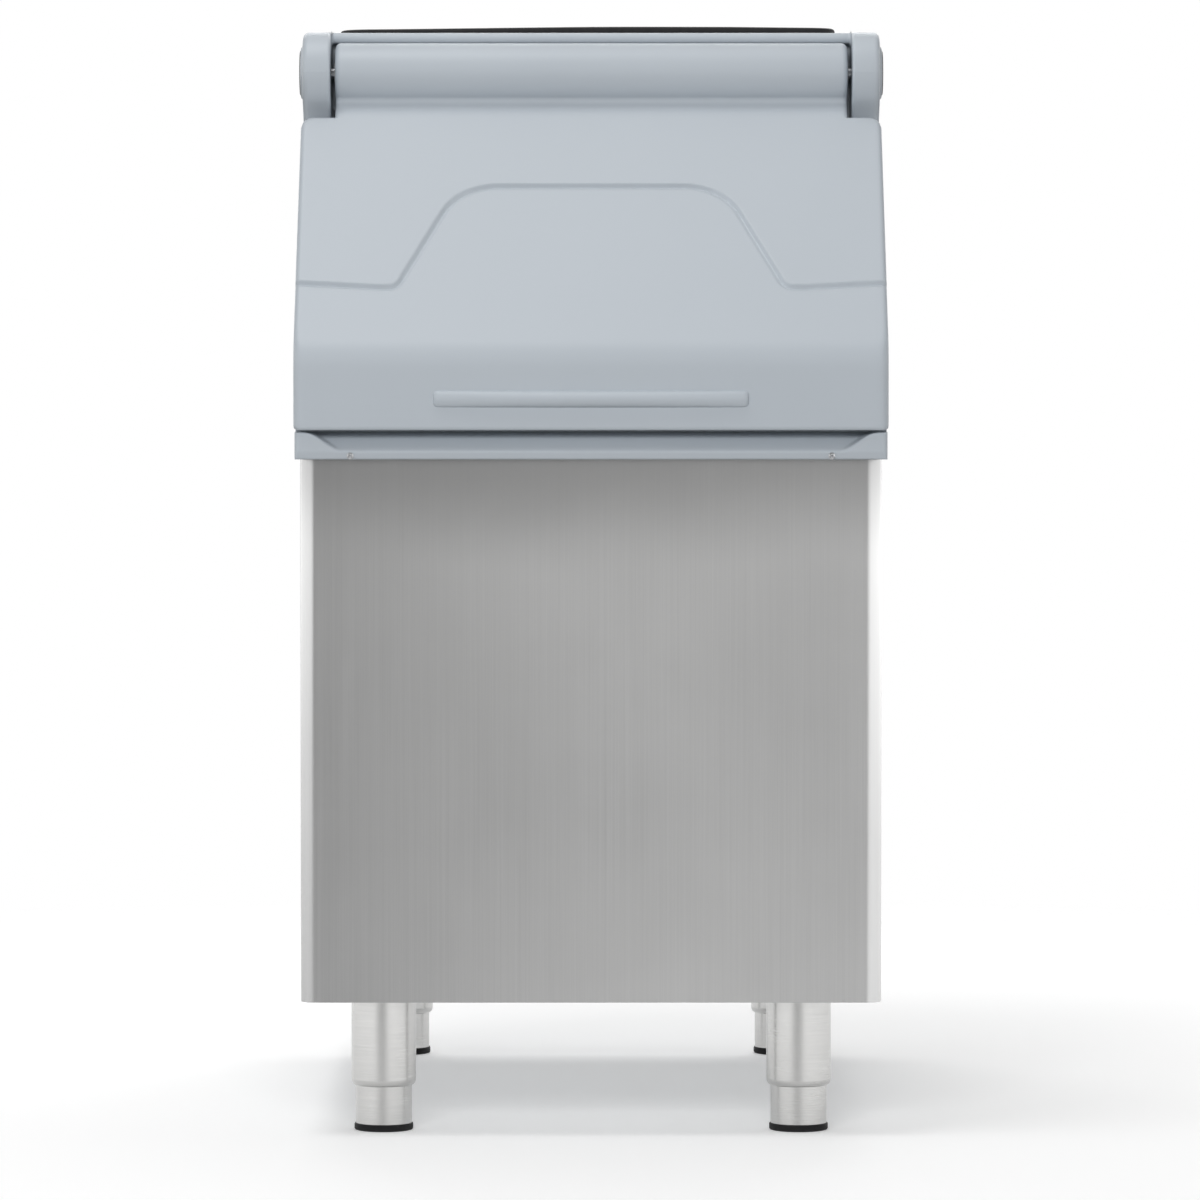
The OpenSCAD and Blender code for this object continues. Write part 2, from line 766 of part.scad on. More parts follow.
module drain_hole(z0, z1) {
    translate([0, drain_d, z0]) cylinder(r = drain_r + hole_clear, h = z1 - z0);
}

module drain_seal() {
    seal_margin = 2;
    color("#202224") placed() translate([0, drain_d, floor_z]) difference() {
        cylinder(r = drain_flange_r - seal_margin, h = drain_seal_t);
        translate([0, 0, -cut]) cylinder(r = drain_r + hole_clear, h = drain_seal_t + 2 * cut);
    }
}

module drain_fitting() {
    z0 = leg_h - drain_drop;
    nut_z = leg_h - drain_nut_t;
    z1 = floor_z + drain_seal_t;
    color("white") placed() translate([0, drain_d, 0]) difference() {
        union() {
            translate([0, 0, z0]) cylinder(r = spigot_r, h = drain_drop);
            translate([0, 0, nut_z]) cylinder(r = drain_r, h = z1 - nut_z + drain_flange_t / 2);
            translate([0, 0, z1]) cylinder(r = drain_flange_r, h = drain_flange_t);
        }
        translate([0, 0, z0 - cut])
            cylinder(r = drain_bore_r, h = z1 - z0 + drain_flange_t + 2 * cut);
    }
}

module drain_nut() {
    color("white") placed() translate([0, drain_d, leg_h - drain_nut_t]) difference() {
        cylinder(r = drain_nut_r, h = drain_nut_t, $fn = 6);
        translate([0, 0, -cut]) cylinder(r = drain_r + hole_clear, h = drain_nut_t + 2 * cut);
    }
}

module drain_strainer() {
    margin = 4;
    hole_r = drain_bore_r / 6;
    hole_step = drain_bore_r / 2.6;
    color("silver") placed()
        translate([0, drain_d, floor_z + drain_seal_t + drain_flange_t]) difference() {
            cylinder(r = drain_flange_r - margin, h = strainer_t);
            for (ring = [1, 2], i = [0 : 6 * ring - 1]) rotate(i * 60 / ring)
                translate([ring * hole_step, 0, -cut])
                    cylinder(r = hole_r, h = strainer_t + 2 * cut, $fn = 24);
            translate([0, 0, -cut]) cylinder(r = hole_r, h = strainer_t + 2 * cut, $fn = 24);
        }
}

// Hinge pin with its head in the ear and its shank in the door's bush
module hinge_pin(side) {
    tip_room = 1;
    head = frame_half - cap_spigot - hole_clear;
    tip = barrel_half - bush_l + tip_room;
    color("silver") placed() mirror([side > 0 ? 0 : 1, 0, 0]) {
        on_axis(tip, head - pin_head_t / 2, pin_r);
        on_axis(head - pin_head_t, head, pin_head_r);
    }
}

// Round cap over the pin's head, its face crowned
module hinge_cap(side) {
    crown = 0.6;
    cap_edge = 1.5;
    color("#30343a") placed() mirror([side > 0 ? 0 : 1, 0, 0])
        translate([frame_half, axis_d, axis_z]) rotate([0, 90, 0]) {
            rotate_extrude() polygon(concat([[0, 0]],
                [for (i = [0 : steps]) let (a = 90 * i / steps)
                    [cap_r - cap_edge + cap_edge * cos(a), (cap_out - crown) * sin(a)]],
                [[cap_r / 2, cap_out - crown / 4], [cap_r / 4, cap_out], [0, cap_out]]));
            translate([0, 0, -cap_spigot]) cylinder(r = pin_head_r, h = cap_spigot + cap_out / 4);
        }
}

module door_bush(side) {
    color("ivory") placed() mirror([side > 0 ? 0 : 1, 0, 0]) difference() {
        union() {
            on_axis(barrel_half - bush_l, barrel_half + bush_flange_t / 2, bush_r);
            on_axis(barrel_half, barrel_half + bush_flange_t, bush_flange_r);
        }
        on_axis(barrel_half - bush_l - cut, barrel_half + bush_flange_t + cut, pin_r + pin_clear);
    }
}

// Fillet between the barrel and a plane r_in inwards, as [t, o] pairs from the plane to the barrel
function neck_arc() =
    let (c = [fillet_t, raised_o + neck_fillet], end = 180 + atan2(c[1], c[0]))
    arc(c, neck_fillet, 270, end, steps);
function slope_points(list) = [for (p = list) at(p[0], p[1])];

// Barrel, neck and panel of the door as one solid
module door_form() {
    on_axis(-barrel_half, barrel_half, barrel_r);
    across(2 * barrel_half) polygon(slope_points(concat(
        [[0, 0], [0, face_o - cut], [fillet_t, face_o - cut]], neck_arc())));
    intersection() {
        across(2 * door_half) polygon(concat(door_line(0, 0), backwards(back_line(0, 0, door_z))));
        door_outline(0);
    }
    raised_face();
    finger_rib();
}

// Shoulders of the wide panel in the slope's plane, set in by b, from the right to the left
function shoulders(b, side) =
    let (r = shoulder_r - b, x = door_half - b, y = -neck_l - b)
    side > 0 ? arc([x - r, y - r], r, 0, 90, steps) : arc([r - x, y - r], r, 90, 180, steps);

// Outline of the door square to the slope, with its narrow neck and rounded shoulders, set in by b
module door_outline(b) {
    neck = barrel_half - b;
    far = cabinet_h;
    on_slope() translate([0, 0, -2 * far]) linear_extrude(3 * far) polygon(concat(
        [[neck, barrel_r], [-neck, barrel_r], [-neck, -neck_l - b]], shoulders(b, -1),
        [[b - door_half, -far], [door_half - b, -far]], shoulders(b, 1), [[neck, -neck_l - b]]));
}

// The raised upper and outer face, bounded below by the moulded step line
module raised_face() {
    x = door_half;
    top = step_top_w / 2;
    low = step_low_w / 2;
    neck_t = fillet_t / 2;
    upper_l = corner([-low, -step_low], [-top, -step_top], [0, -step_top], step_top_r);
    upper_r = corner([0, -step_top], [top, -step_top], [low, -step_low], step_top_r);
    lower_l = corner([-x, -step_low], [-low, -step_low], [-top, -step_top], step_low_r);
    lower_r = corner([top, -step_top], [low, -step_low], [x, -step_low], step_low_r);
    on_slope() translate([0, 0, face_o - cut]) linear_extrude(step_h + cut) polygon(concat(
        [[barrel_half, -neck_t], [-barrel_half, -neck_t], [-barrel_half, -neck_l]],
        shoulders(0, -1), [[-x, -step_low]], lower_l, upper_l, upper_r, lower_r,
        [[x, -step_low]], shoulders(0, 1), [[barrel_half, -neck_l]]));
}

// Lens-shaped rib that the fingers find on the upright face
module finger_rib() {
    z = door_z + rib_up;
    sag = rib_out - rib_end_out;
    plan_r = (pow(rib_w / 2, 2) + sag * sag) / (2 * sag);
    intersection() {
        across(rib_w) polygon(concat([[cut - face_out, z + rib_h / 2], [cut - face_out, z - rib_h / 2]],
            [for (i = [0 : bend_steps]) let (a = 180 * i / bend_steps - 90)
                [-face_out - rib_out * cos(a), z + rib_h / 2 * sin(a)]]));
        translate([0, plan_r - face_out - rib_out, z - rib_h])
            cylinder(r = plan_r, h = 2 * rib_h, $fn = 256);
    }
}

// Hollow of the outer skin, closed at the back by the inner skin, whose line is set in by b
module door_hollow(b) {
    shelf = -barrel_r / 2;
    on_axis(barrel_end - barrel_half, barrel_half - barrel_end, barrel_r - skin_t);
    intersection() {
        across(2 * (door_half - skin_t)) polygon(concat(
            [at(skin_t, shelf), at(fillet_t / 2, shelf)], door_line(fillet_t / 2, skin_t),
            backwards(back_line(skin_t, b, door_z + skin_t))));
        door_outline(skin_t);
    }
}

module door_bush_bores() {
    for (side = [-1, 1]) mirror([side > 0 ? 0 : 1, 0, 0])
        on_axis(barrel_half - bush_l - cut, barrel_half + cut, bush_r + hole_clear);
}

module at_door_screws() {
    for (x = [-door_screw_x, door_screw_x], t = door_screw_ts)
        on_slope() translate([x, -t, back_o]) children();
}

module door_outer_skin() {
    color("#bcc4cb") placed() difference() {
        door_form();
        door_hollow(-cut);
        door_bush_bores();
    }
}

module door_inner_skin() {
    color("gainsboro") placed() difference() {
        intersection() {
            across(2 * (door_half - skin_t)) polygon(concat(back_line(skin_t, 0, door_z + skin_t),
                backwards(back_line(skin_t, inner_t, door_z + skin_t))));
            door_outline(skin_t);
        }
        at_door_screws() translate([0, 0, -cut])
            cylinder(r = screw_r + hole_clear, h = inner_t + 2 * cut);
    }
}

module door_foam() {
    color("khaki") placed() difference() {
        door_hollow(inner_t);
        at_door_screws() cylinder(r = screw_r + hole_clear, h = door_screw_l + hole_clear);
    }
}

module door_screws() {
    color("gray") placed() at_door_screws() {
        cylinder(r = screw_r, h = door_screw_l);
        translate([0, 0, -screw_head_t]) cylinder(r = screw_head_r, h = screw_head_t);
    }
}

module door_gasket() {
    x = door_seal_x;
    t0 = mouth_top - seal_in;
    t1 = mouth_low + seal_in;
    color("#202224") placed() on_slope() translate([0, 0, seat_o + seal_play]) difference() {
        linear_extrude(seal_gap - seal_play) polygon(round_rect(-x - seal_w, -t1 - seal_w,
            x + seal_w, -t0 + seal_w, mouth_r + seal_w));
        translate([0, 0, -cut]) linear_extrude(seal_gap + 2 * cut)
            polygon(round_rect(-x, -t1, x, -t0, mouth_r));
    }
}

// Leg tube with a rolled-in shoulder that guides the foot
module leg_tube() {
    in_r = foot_r + foot_clear;
    roll = tube_r - in_r;
    wall = tube_r - tube_t;
    rotate_extrude() polygon(concat(
        [[wall, leg_h], [tube_r, leg_h]],
        [for (i = [0 : steps]) let (a = 90 * i / steps)
            [in_r + roll * cos(a), shoulder_z + shoulder_h * (1 - sin(a))]],
        [[in_r, shoulder_z + tube_t]],
        [for (i = [steps - 1 : -1 : 0]) let (a = 90 * i / steps)
            [in_r + (roll - tube_t) * cos(a), shoulder_z + tube_t + shoulder_h * (1 - sin(a))]]));
}

// Plug in the top of the tube: the stud screws up into the cabinet, the boss holds the foot's stem
module leg_plug() {
    difference() {
        union() {
            translate([0, 0, leg_h - plug_t])
                cylinder(r = tube_r - tube_t - hole_clear, h = plug_t);
            translate([0, 0, leg_h - boss_l]) cylinder(r = boss_r, h = boss_l - plug_t / 2);
            translate([0, 0, leg_h - plug_t / 2]) cylinder(r = stud_r, h = stud_l + plug_t / 2);
        }
        translate([0, 0, leg_h - boss_l - cut])
            cylinder(r = stem_r + pin_clear, h = boss_l - plug_t / 2 + cut);
    }
}

module foot_tube() {
    rotate_extrude() polygon([[0, pad_h], [foot_r, pad_h], [foot_r, foot_top],
        [foot_r - foot_t, foot_top], [foot_r - foot_t, pad_h + foot_plate], [0, pad_h + foot_plate]]);
}

module foot_stem() {
    z0 = pad_h + foot_plate;
    translate([0, 0, z0]) cylinder(r = stem_r, h = stem_top - z0);
    translate([0, 0, z0]) cylinder(r = boss_r, h = foot_plate);
}

module foot_pad() {
    edge = pad_h * 0.4;
    rotate_extrude() polygon(concat([[0, 0]], arc([pad_r - edge, edge], edge, 270, 360, steps),
        [[pad_r, pad_h], [0, pad_h]]));
}

module at_leg(side, d) {
    placed() translate([side * leg_x, d, 0]) children();
}

outer_wrap();
rear_panel();
bottom_panel();
liner();
insulation();
front_frame();
top_panel();
top_gasket();
deck_inserts();
base_rail(leg_front);  // base_rail_front
base_rail(leg_rear);  // base_rail_rear
leg_nuts();
hinge_pin(-1);  // hinge_pin_left
hinge_pin(1);  // hinge_pin_right
hinge_cap(-1);  // hinge_cap_left
hinge_cap(1);  // hinge_cap_right
lip_screws();
rear_screws();
ice_baffle();
baffle_screws();
drain_fitting();
drain_nut();
drain_seal();
drain_strainer();
door_outer_skin();
door_inner_skin();
door_foam();
door_gasket();
door_bush(-1);  // door_bush_left
door_bush(1);  // door_bush_right
door_screws();
color("silver") at_leg(-1, leg_front) leg_tube();  // leg_tube_front_left
color("silver") at_leg(1, leg_front) leg_tube();  // leg_tube_front_right
color("silver") at_leg(-1, leg_rear) leg_tube();  // leg_tube_rear_left
color("silver") at_leg(1, leg_rear) leg_tube();  // leg_tube_rear_right
color("gray") at_leg(-1, leg_front) leg_plug();  // leg_plug_front_left
color("gray") at_leg(1, leg_front) leg_plug();  // leg_plug_front_right
color("gray") at_leg(-1, leg_rear) leg_plug();  // leg_plug_rear_left
color("gray") at_leg(1, leg_rear) leg_plug();  // leg_plug_rear_right
color("silver") at_leg(-1, leg_front) foot_tube();  // foot_tube_front_left
color("silver") at_leg(1, leg_front) foot_tube();  // foot_tube_front_right
color("silver") at_leg(-1, leg_rear) foot_tube();  // foot_tube_rear_left
color("silver") at_leg(1, leg_rear) foot_tube();  // foot_tube_rear_right
color("gray") at_leg(-1, leg_front) foot_stem();  // foot_stem_front_left
color("gray") at_leg(1, leg_front) foot_stem();  // foot_stem_front_right
color("gray") at_leg(-1, leg_rear) foot_stem();  // foot_stem_rear_left
color("gray") at_leg(1, leg_rear) foot_stem();  // foot_stem_rear_right
color("#202224") at_leg(-1, leg_front) foot_pad();  // foot_pad_front_left
color("#202224") at_leg(1, leg_front) foot_pad();  // foot_pad_front_right
color("#202224") at_leg(-1, leg_rear) foot_pad();  // foot_pad_rear_left
color("#202224") at_leg(1, leg_rear) foot_pad();  // foot_pad_rear_right
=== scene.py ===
import json
from math import atan2, ceil, cos, hypot, pi, radians, sin, sqrt

import bmesh
import bpy
from mathutils import Matrix, Vector


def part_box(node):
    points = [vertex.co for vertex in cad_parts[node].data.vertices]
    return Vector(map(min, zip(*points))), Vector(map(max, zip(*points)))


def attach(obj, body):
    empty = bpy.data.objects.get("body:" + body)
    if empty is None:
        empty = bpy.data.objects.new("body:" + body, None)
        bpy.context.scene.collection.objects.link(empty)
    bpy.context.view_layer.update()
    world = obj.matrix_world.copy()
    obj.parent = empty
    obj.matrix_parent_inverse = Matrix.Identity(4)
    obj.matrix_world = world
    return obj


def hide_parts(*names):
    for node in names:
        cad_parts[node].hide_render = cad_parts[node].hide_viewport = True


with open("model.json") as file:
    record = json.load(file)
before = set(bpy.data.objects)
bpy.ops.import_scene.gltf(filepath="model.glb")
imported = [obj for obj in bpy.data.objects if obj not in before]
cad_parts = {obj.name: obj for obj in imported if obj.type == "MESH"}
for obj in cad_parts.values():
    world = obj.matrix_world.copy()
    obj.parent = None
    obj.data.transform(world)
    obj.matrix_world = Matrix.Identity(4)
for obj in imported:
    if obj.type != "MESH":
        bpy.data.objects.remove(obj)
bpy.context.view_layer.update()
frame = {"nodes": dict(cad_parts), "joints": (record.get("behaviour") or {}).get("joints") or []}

# Adjustable legs. Each is a satin stainless tube whose lower end is rolled in round a sliding
# foot of the same steel. A zinc-plated plug in the tube's top bolts it to the base, and the
# foot's zinc-plated stem screws up into it.


class Value:
    """A number or colour that changes over a surface, used in ordinary Python arithmetic."""

    def __init__(self, nodes, socket):
        self.nodes = nodes
        self.socket = socket

    def math(self, operation, first, second):
        return self.nodes.node("ShaderNodeMath", {"operation": operation}, {0: first, 1: second})

    def __add__(self, other):
        return self.math("ADD", self, other)

    def __radd__(self, other):
        return self.math("ADD", other, self)

    def __sub__(self, other):
        return self.math("SUBTRACT", self, other)

    def __rsub__(self, other):
        return self.math("SUBTRACT", other, self)

    def __mul__(self, other):
        return self.math("MULTIPLY", self, other)

    def __rmul__(self, other):
        return self.math("MULTIPLY", other, self)

    def size(self):
        """The value without its sign."""
        return self.math("ABSOLUTE", self, 0.0)


class Nodes:
    """The nodes of one material or of the studio's room, added one by one."""

    def __init__(self, tree):
        self.tree = tree

    def node(self, kind, settings=None, inputs=None, output=0):
        """Adds one node: its settings first, then the values or links of its sockets."""
        made = self.tree.nodes.new(kind)
        for setting, value in (settings or {}).items():
            if setting == "stops":
                for stop, (position, grey) in zip(made.color_ramp.elements, value):
                    stop.position = position
                    stop.color = (grey, grey, grey, 1)
            else:
                setattr(made, setting, value)
        for socket, value in (inputs or {}).items():
            if isinstance(value, Value):
                self.tree.links.new(value.socket, made.inputs[socket])
            else:
                made.inputs[socket].default_value = value
        return Value(self, made.outputs[output])

    def eased(self, value, low, high):
        """Goes softly from 0 to 1 as the value goes from low to high."""
        return self.node("ShaderNodeMapRange", {"interpolation_type": "SMOOTHSTEP"},
                         {"Value": value, "From Min": low, "From Max": high})

    def along(self, axis, vector):
        """The part of a vector that lies along one axis."""
        return self.node("ShaderNodeSeparateXYZ", None, {0: vector}, output=axis)


class Finish(Nodes):
    """A material whose shader gets plain values first and changing ones node by node."""

    def __init__(self, name, slot, colour, **settings):
        self.slot = slot
        self.material = bpy.data.materials.new(name)
        self.material.use_nodes = True
        super().__init__(self.material.node_tree)
        self.shader = self.tree.nodes["Principled BSDF"]
        self.shader.inputs["Base Color"].default_value = (*colour, 1)
        for socket, value in settings.items():
            self.shader.inputs[socket.replace("_", " ")].default_value = value
        self.place = self.node("ShaderNodeTexCoord", output="Object")

    def stretched(self, x, y, z):
        """Object coordinates in metres, times a number of marks per metre each way."""
        return self.node("ShaderNodeVectorMath", {"operation": "MULTIPLY"},
                         {0: self.place, 1: (x, y, z)})

    def noise(self, place, detail=2.0):
        return self.node("ShaderNodeTexNoise", None,
                         {"Vector": place, "Scale": 1.0, "Detail": detail})

    def ramp(self, value, *stops):
        return self.node("ShaderNodeValToRGB", {"stops": stops}, {"Fac": value})

    def blend(self, dark, light, factor):
        """A colour between two others."""
        return self.node("ShaderNodeMix", {"data_type": "RGBA"},
                         {0: factor, 6: (*dark, 1), 7: (*light, 1)}, output=2)

    def vary(self, socket, value):
        """Links a changing value to one of the shader's sockets."""
        self.tree.links.new(value.socket, self.shader.inputs[socket])

    def relief(self, height, depth):
        """Bumps of that depth in metres where height goes from 0 to 1."""
        bump = self.node("ShaderNodeBump", None,
                         {"Height": height, "Distance": depth, "Strength": 1.0})
        self.vary("Normal", bump)

    def on(self, *names):
        """Gives the finish to CAD nodes that keep their own shape."""
        for name in names:
            for place in frame["nodes"][name].material_slots:
                place.material = self.material


LEGS = [f"{end}_{side}" for end in ("front", "rear") for side in ("left", "right")]

leg_steel = Finish("satin_leg_steel", "leg_steel", (0.56, 0.56, 0.55), Metallic=1.0, Roughness=0.24)
turned = leg_steel.noise(leg_steel.stretched(30, 30, 2600), detail=3)
smears = leg_steel.noise(leg_steel.stretched(24, 24, 14))
leg_steel.vary("Base Color", leg_steel.blend((0.45, 0.45, 0.445), (0.60, 0.595, 0.585), turned))
leg_steel.vary("Roughness", 0.17 + 0.09 * turned + 0.08 * smears)
leg_steel.relief(turned, 0.00002)
leg_steel.on(*[f"leg_tube_{leg}" for leg in LEGS], *[f"foot_tube_{leg}" for leg in LEGS])

zinc = Finish("zinc_plating", "zinc_steel", (0.56, 0.57, 0.58), Metallic=1.0, Roughness=0.34)
bloom = zinc.noise(zinc.stretched(180, 180, 180), detail=4)
zinc.vary("Base Color", zinc.blend((0.47, 0.48, 0.50), (0.63, 0.64, 0.65), bloom))
zinc.vary("Roughness", 0.28 + 0.16 * bloom)
zinc.on(*[f"leg_plug_{leg}" for leg in LEGS], *[f"foot_stem_{leg}" for leg in LEGS], "leg_nuts")

# Rubber pads under the feet. Each is a moulded black disc fixed below the foot's bottom plate,
# and its side has a few shallow grip grooves.
PAD_SIDE = 0.02875
PAD_HEIGHT = 0.007
PAD_FOOT_ROUND = [(0.0026, 0), (0.0008, 0.0005), (0, 0.0018)]
PAD_TOP_EDGE = 0.0006
GRIPS = 3
GRIP_DEPTH = 0.0004
GRIP_START = 0.0022
GRIP_PITCH = 0.0013
GRIP_STEP = 0.0003

rubber = Finish("black_rubber", "black_rubber", (0.018, 0.018, 0.019), Roughness=0.62,
                Specular_IOR_Level=0.2)
bloom = rubber.noise(rubber.stretched(260, 260, 260), detail=4)
rubber.vary("Base Color", rubber.blend((0.013, 0.013, 0.014), (0.03, 0.03, 0.031), bloom))
rubber.vary("Roughness", 0.52 + 0.22 * bloom)
rubber.relief(bloom, 0.00008)


def piece_of(mesh, name, finish, body, *nodes, corner=32):
    """Makes a piece of a mesh, with its edges sharp where they turn more than the corner angle."""
    bmesh.ops.recalc_face_normals(mesh, faces=mesh.faces)
    for face in mesh.faces:
        face.smooth = True
    for edge in mesh.edges:
        edge.smooth = len(edge.link_faces) == 2 and edge.calc_face_angle(0) < radians(corner)
    data = bpy.data.meshes.new(name)
    mesh.to_mesh(data)
    mesh.free()
    data.materials.append(finish.material)
    piece = bpy.data.objects.new(name, data)
    bpy.context.scene.collection.objects.link(piece)
    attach(piece, body)
    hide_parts(*nodes)
    return piece


def close_rings(mesh, rings):
    """Faces between rings of points, where a ring of one point ends the form."""
    count = max(len(ring) for ring in rings)
    for low, high in zip(rings, rings[1:]):
        for i in range(count):
            j = (i + 1) % count
            around = [low[i % len(low)], low[j % len(low)], high[j % len(high)], high[i % len(high)]]
            corners = list(dict.fromkeys(around))
            if len(corners) > 2:
                mesh.faces.new(corners)


def turned_form(mesh, profile, place, around=64):
    """Turns pairs of radius and height about the Z axis of a place. A height may follow the angle."""
    rings = []
    for radius, height in profile:
        angles = [2 * pi * i / around for i in range(around if radius else 1)]
        heights = [height(a) if callable(height) else height for a in angles]
        rings.append([mesh.verts.new(place @ Vector((radius * cos(a), radius * sin(a), z)))
                      for a, z in zip(angles, heights)])
    close_rings(mesh, rings)


for leg in LEGS:
    low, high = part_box(f"foot_pad_{leg}")
    middle = (low + high) / 2
    outline = [(0, 0)] + [(PAD_SIDE - inward, height) for inward, height in PAD_FOOT_ROUND]
    for groove in range(GRIPS):
        foot = GRIP_START + GRIP_PITCH * groove
        outline.append((PAD_SIDE, foot))
        outline.append((PAD_SIDE - GRIP_DEPTH, foot + GRIP_STEP))
        outline.append((PAD_SIDE - GRIP_DEPTH, foot + 2 * GRIP_STEP))
        outline.append((PAD_SIDE, foot + 3 * GRIP_STEP))
    outline += [(PAD_SIDE - PAD_TOP_EDGE, PAD_HEIGHT), (0, PAD_HEIGHT)]
    pad = bmesh.new()
    turned_form(pad, outline, Matrix.Translation((middle.x, middle.y, low.z)))
    piece_of(pad, f"pad_{leg}", rubber, f"foot_{leg}", f"foot_pad_{leg}")

# Base and back. Galvanised sheet closes the cabinet's underside and rear, and two thicker
# rails of the same steel spread the load of the legs over the base.
galvanised = Finish("galvanised_sheet", "galvanised", (0.50, 0.52, 0.53), Metallic=0.85,
                    Roughness=0.42)
spangle = galvanised.node("ShaderNodeTexVoronoi", None, {"Vector": galvanised.stretched(75, 75, 75)},
                          output="Color")
tone = galvanised.ramp(spangle, (0.1, 0.3), (0.9, 0.7))
galvanised.vary("Base Color", galvanised.blend((0.40, 0.42, 0.44), (0.60, 0.62, 0.63), tone))
galvanised.vary("Roughness", 0.32 + 0.2 * tone)
galvanised.on("bottom_panel", "rear_panel", "base_rail_front", "base_rail_rear")

# Steel cabinet. One sheet of stainless steel with an upright brushed grain is bent round the two
# front corners, and its rear edges fold in under the rear panel. Its colour is painted lighter
# upwards and to the right as painted reflection, and the front has painted shade below the lip, as the
# picture shows it.
# How strongly the painted shade below the lip darkens the front.
PAINTED_SHADE_STRENGTH = 0.7

stainless = Finish("brushed_stainless", "stainless", (0.5, 0.5, 0.495), Metallic=1.0, Roughness=0.3)
grain = stainless.noise(stainless.stretched(1500, 1500, 6), detail=3)
long_grain = stainless.noise(stainless.stretched(420, 420, 1.2), detail=2)
clouds = stainless.noise(stainless.stretched(3.4, 3.4, 3.4), detail=3)
brush = 0.6 * grain + 0.4 * long_grain
up = stainless.along("Z", stainless.place)
# Painted reflection: the colour grows lighter upwards, standing in for the room's reflections.
painted_light_upwards = stainless.eased(up, 0.08, 0.62)
# Painted reflection: the colour grows lighter from the left towards the middle and right.
sheen = stainless.eased(stainless.along("X", stainless.place), -0.28, -0.02)
at_front = 1 - stainless.eased(stainless.along("Y", stainless.place), -0.40, -0.30)
# Painted shade: the front darkens just below the lip, where the lip's shadow and dark reflection fall.
painted_shade_below_lip = stainless.eased(up + 0.10 * clouds, 0.60, 0.72) * at_front
# The tone mixes the real brushed grain and random clouds with the painted reflection and the painted
# shade.
tone = (0.26 * brush + 0.24 * clouds + 0.55 * painted_light_upwards + 0.26 * sheen - 0.18) * (1 - PAINTED_SHADE_STRENGTH * painted_shade_below_lip)
stainless.vary("Base Color", stainless.blend((0.36, 0.36, 0.36), (0.80, 0.80, 0.795), tone))
stainless.vary("Roughness", 0.24 + 0.1 * brush + 0.08 * clouds)
stainless.relief(brush, 0.00006)


MERGED = 0.00002
BEVEL_STEPS = 3


def cut_through(mesh, point, normal, keep_both=True):
    """Cuts a mesh by a plane, and drops what is on the normal's side unless both sides stay."""
    everything = mesh.verts[:] + mesh.edges[:] + mesh.faces[:]
    made = bmesh.ops.bisect_plane(mesh, geom=everything, dist=0.000001, plane_co=point,
                                  plane_no=normal, clear_outer=not keep_both)
    for part in made["geom_cut"]:
        if isinstance(part, bmesh.types.BMEdge):
            part.seam = True


def rounded(name, node, finish, body, radius=0.0, holes=(), cuts=(), front=None, corner=35):
    """A smooth copy of a CAD piece, with its edges rounded. radius is a length, or a rule that
    gives it from an edge's middle. Planes through the holes, across the width or as cuts, keep
    each flat face free of holes. What lies ahead of front is left out."""
    mesh = bmesh.new()
    mesh.from_mesh(frame["nodes"][node].data)
    bmesh.ops.remove_doubles(mesh, verts=mesh.verts, dist=MERGED)
    if front is not None:
        cut_through(mesh, (0, front, 0), (0, -1, 0), keep_both=False)
    if radius:
        for x in holes:
            cut_through(mesh, (x, 0, 0), (1, 0, 0))
        for point, normal in cuts:
            cut_through(mesh, point, normal)
        bmesh.ops.dissolve_limit(mesh, angle_limit=radians(0.6), verts=mesh.verts,
                                 edges=mesh.edges, delimit={"SEAM"})
    sizes = []
    for edge in mesh.edges:
        middle = (edge.verts[0].co + edge.verts[1].co) / 2
        size = radius(middle) if callable(radius) else radius
        turns = len(edge.link_faces) == 2 and edge.calc_face_angle(0) > radians(corner)
        sizes.append(size if turns else 0)
    widest = max(sizes)
    if widest:
        weight = mesh.edges.layers.float.new("bevel_weight_edge")
        for edge, size in zip(mesh.edges, sizes):
            edge[weight] = size / widest
    piece = piece_of(mesh, name, finish, body, node, corner=corner)
    if widest:
        for edge, size in zip(piece.data.edges, sizes):
            if size:
                edge.use_edge_sharp = False
        edges = piece.modifiers.new("rounded edges", "BEVEL")
        edges.limit_method = "WEIGHT"
        edges.width = widest
        edges.segments = BEVEL_STEPS
        edges.use_clamp_overlap = False
        edges.miter_outer = "MITER_ARC"
    flat = piece.modifiers.new("flat faces", "WEIGHTED_NORMAL")
    flat.keep_sharp = True
    return piece


rounded("steel_cabinet", "outer_wrap", stainless, "cabinet")

# Liner and insulation. The liner is a white plastic tub with a matt, faintly mottled skin, and
# pale yellow foam fills the space between it and the steel, as it does inside the door.
white_plastic = Finish("white_plastic", "white_plastic", (0.80, 0.81, 0.81), Roughness=0.3)
mottle = white_plastic.noise(white_plastic.stretched(420, 420, 420), detail=3)
wear = white_plastic.noise(white_plastic.stretched(7, 7, 7), detail=4)
white_plastic.vary("Base Color",
                   white_plastic.blend((0.75, 0.76, 0.765), (0.84, 0.845, 0.84), wear))
white_plastic.vary("Roughness", 0.26 + 0.14 * wear)
white_plastic.relief(mottle, 0.00005)
rounded("liner_tub", "liner", white_plastic, "cabinet")

foam = Finish("insulating_foam", "foam", (0.72, 0.62, 0.36), Roughness=0.9)
cells = foam.node("ShaderNodeTexVoronoi", None, {"Vector": foam.stretched(900, 900, 900)})
foam.vary("Base Color", foam.blend((0.62, 0.52, 0.28), (0.80, 0.71, 0.45), cells))
foam.relief(cells, 0.0003)
foam.on("insulation", "door_foam")

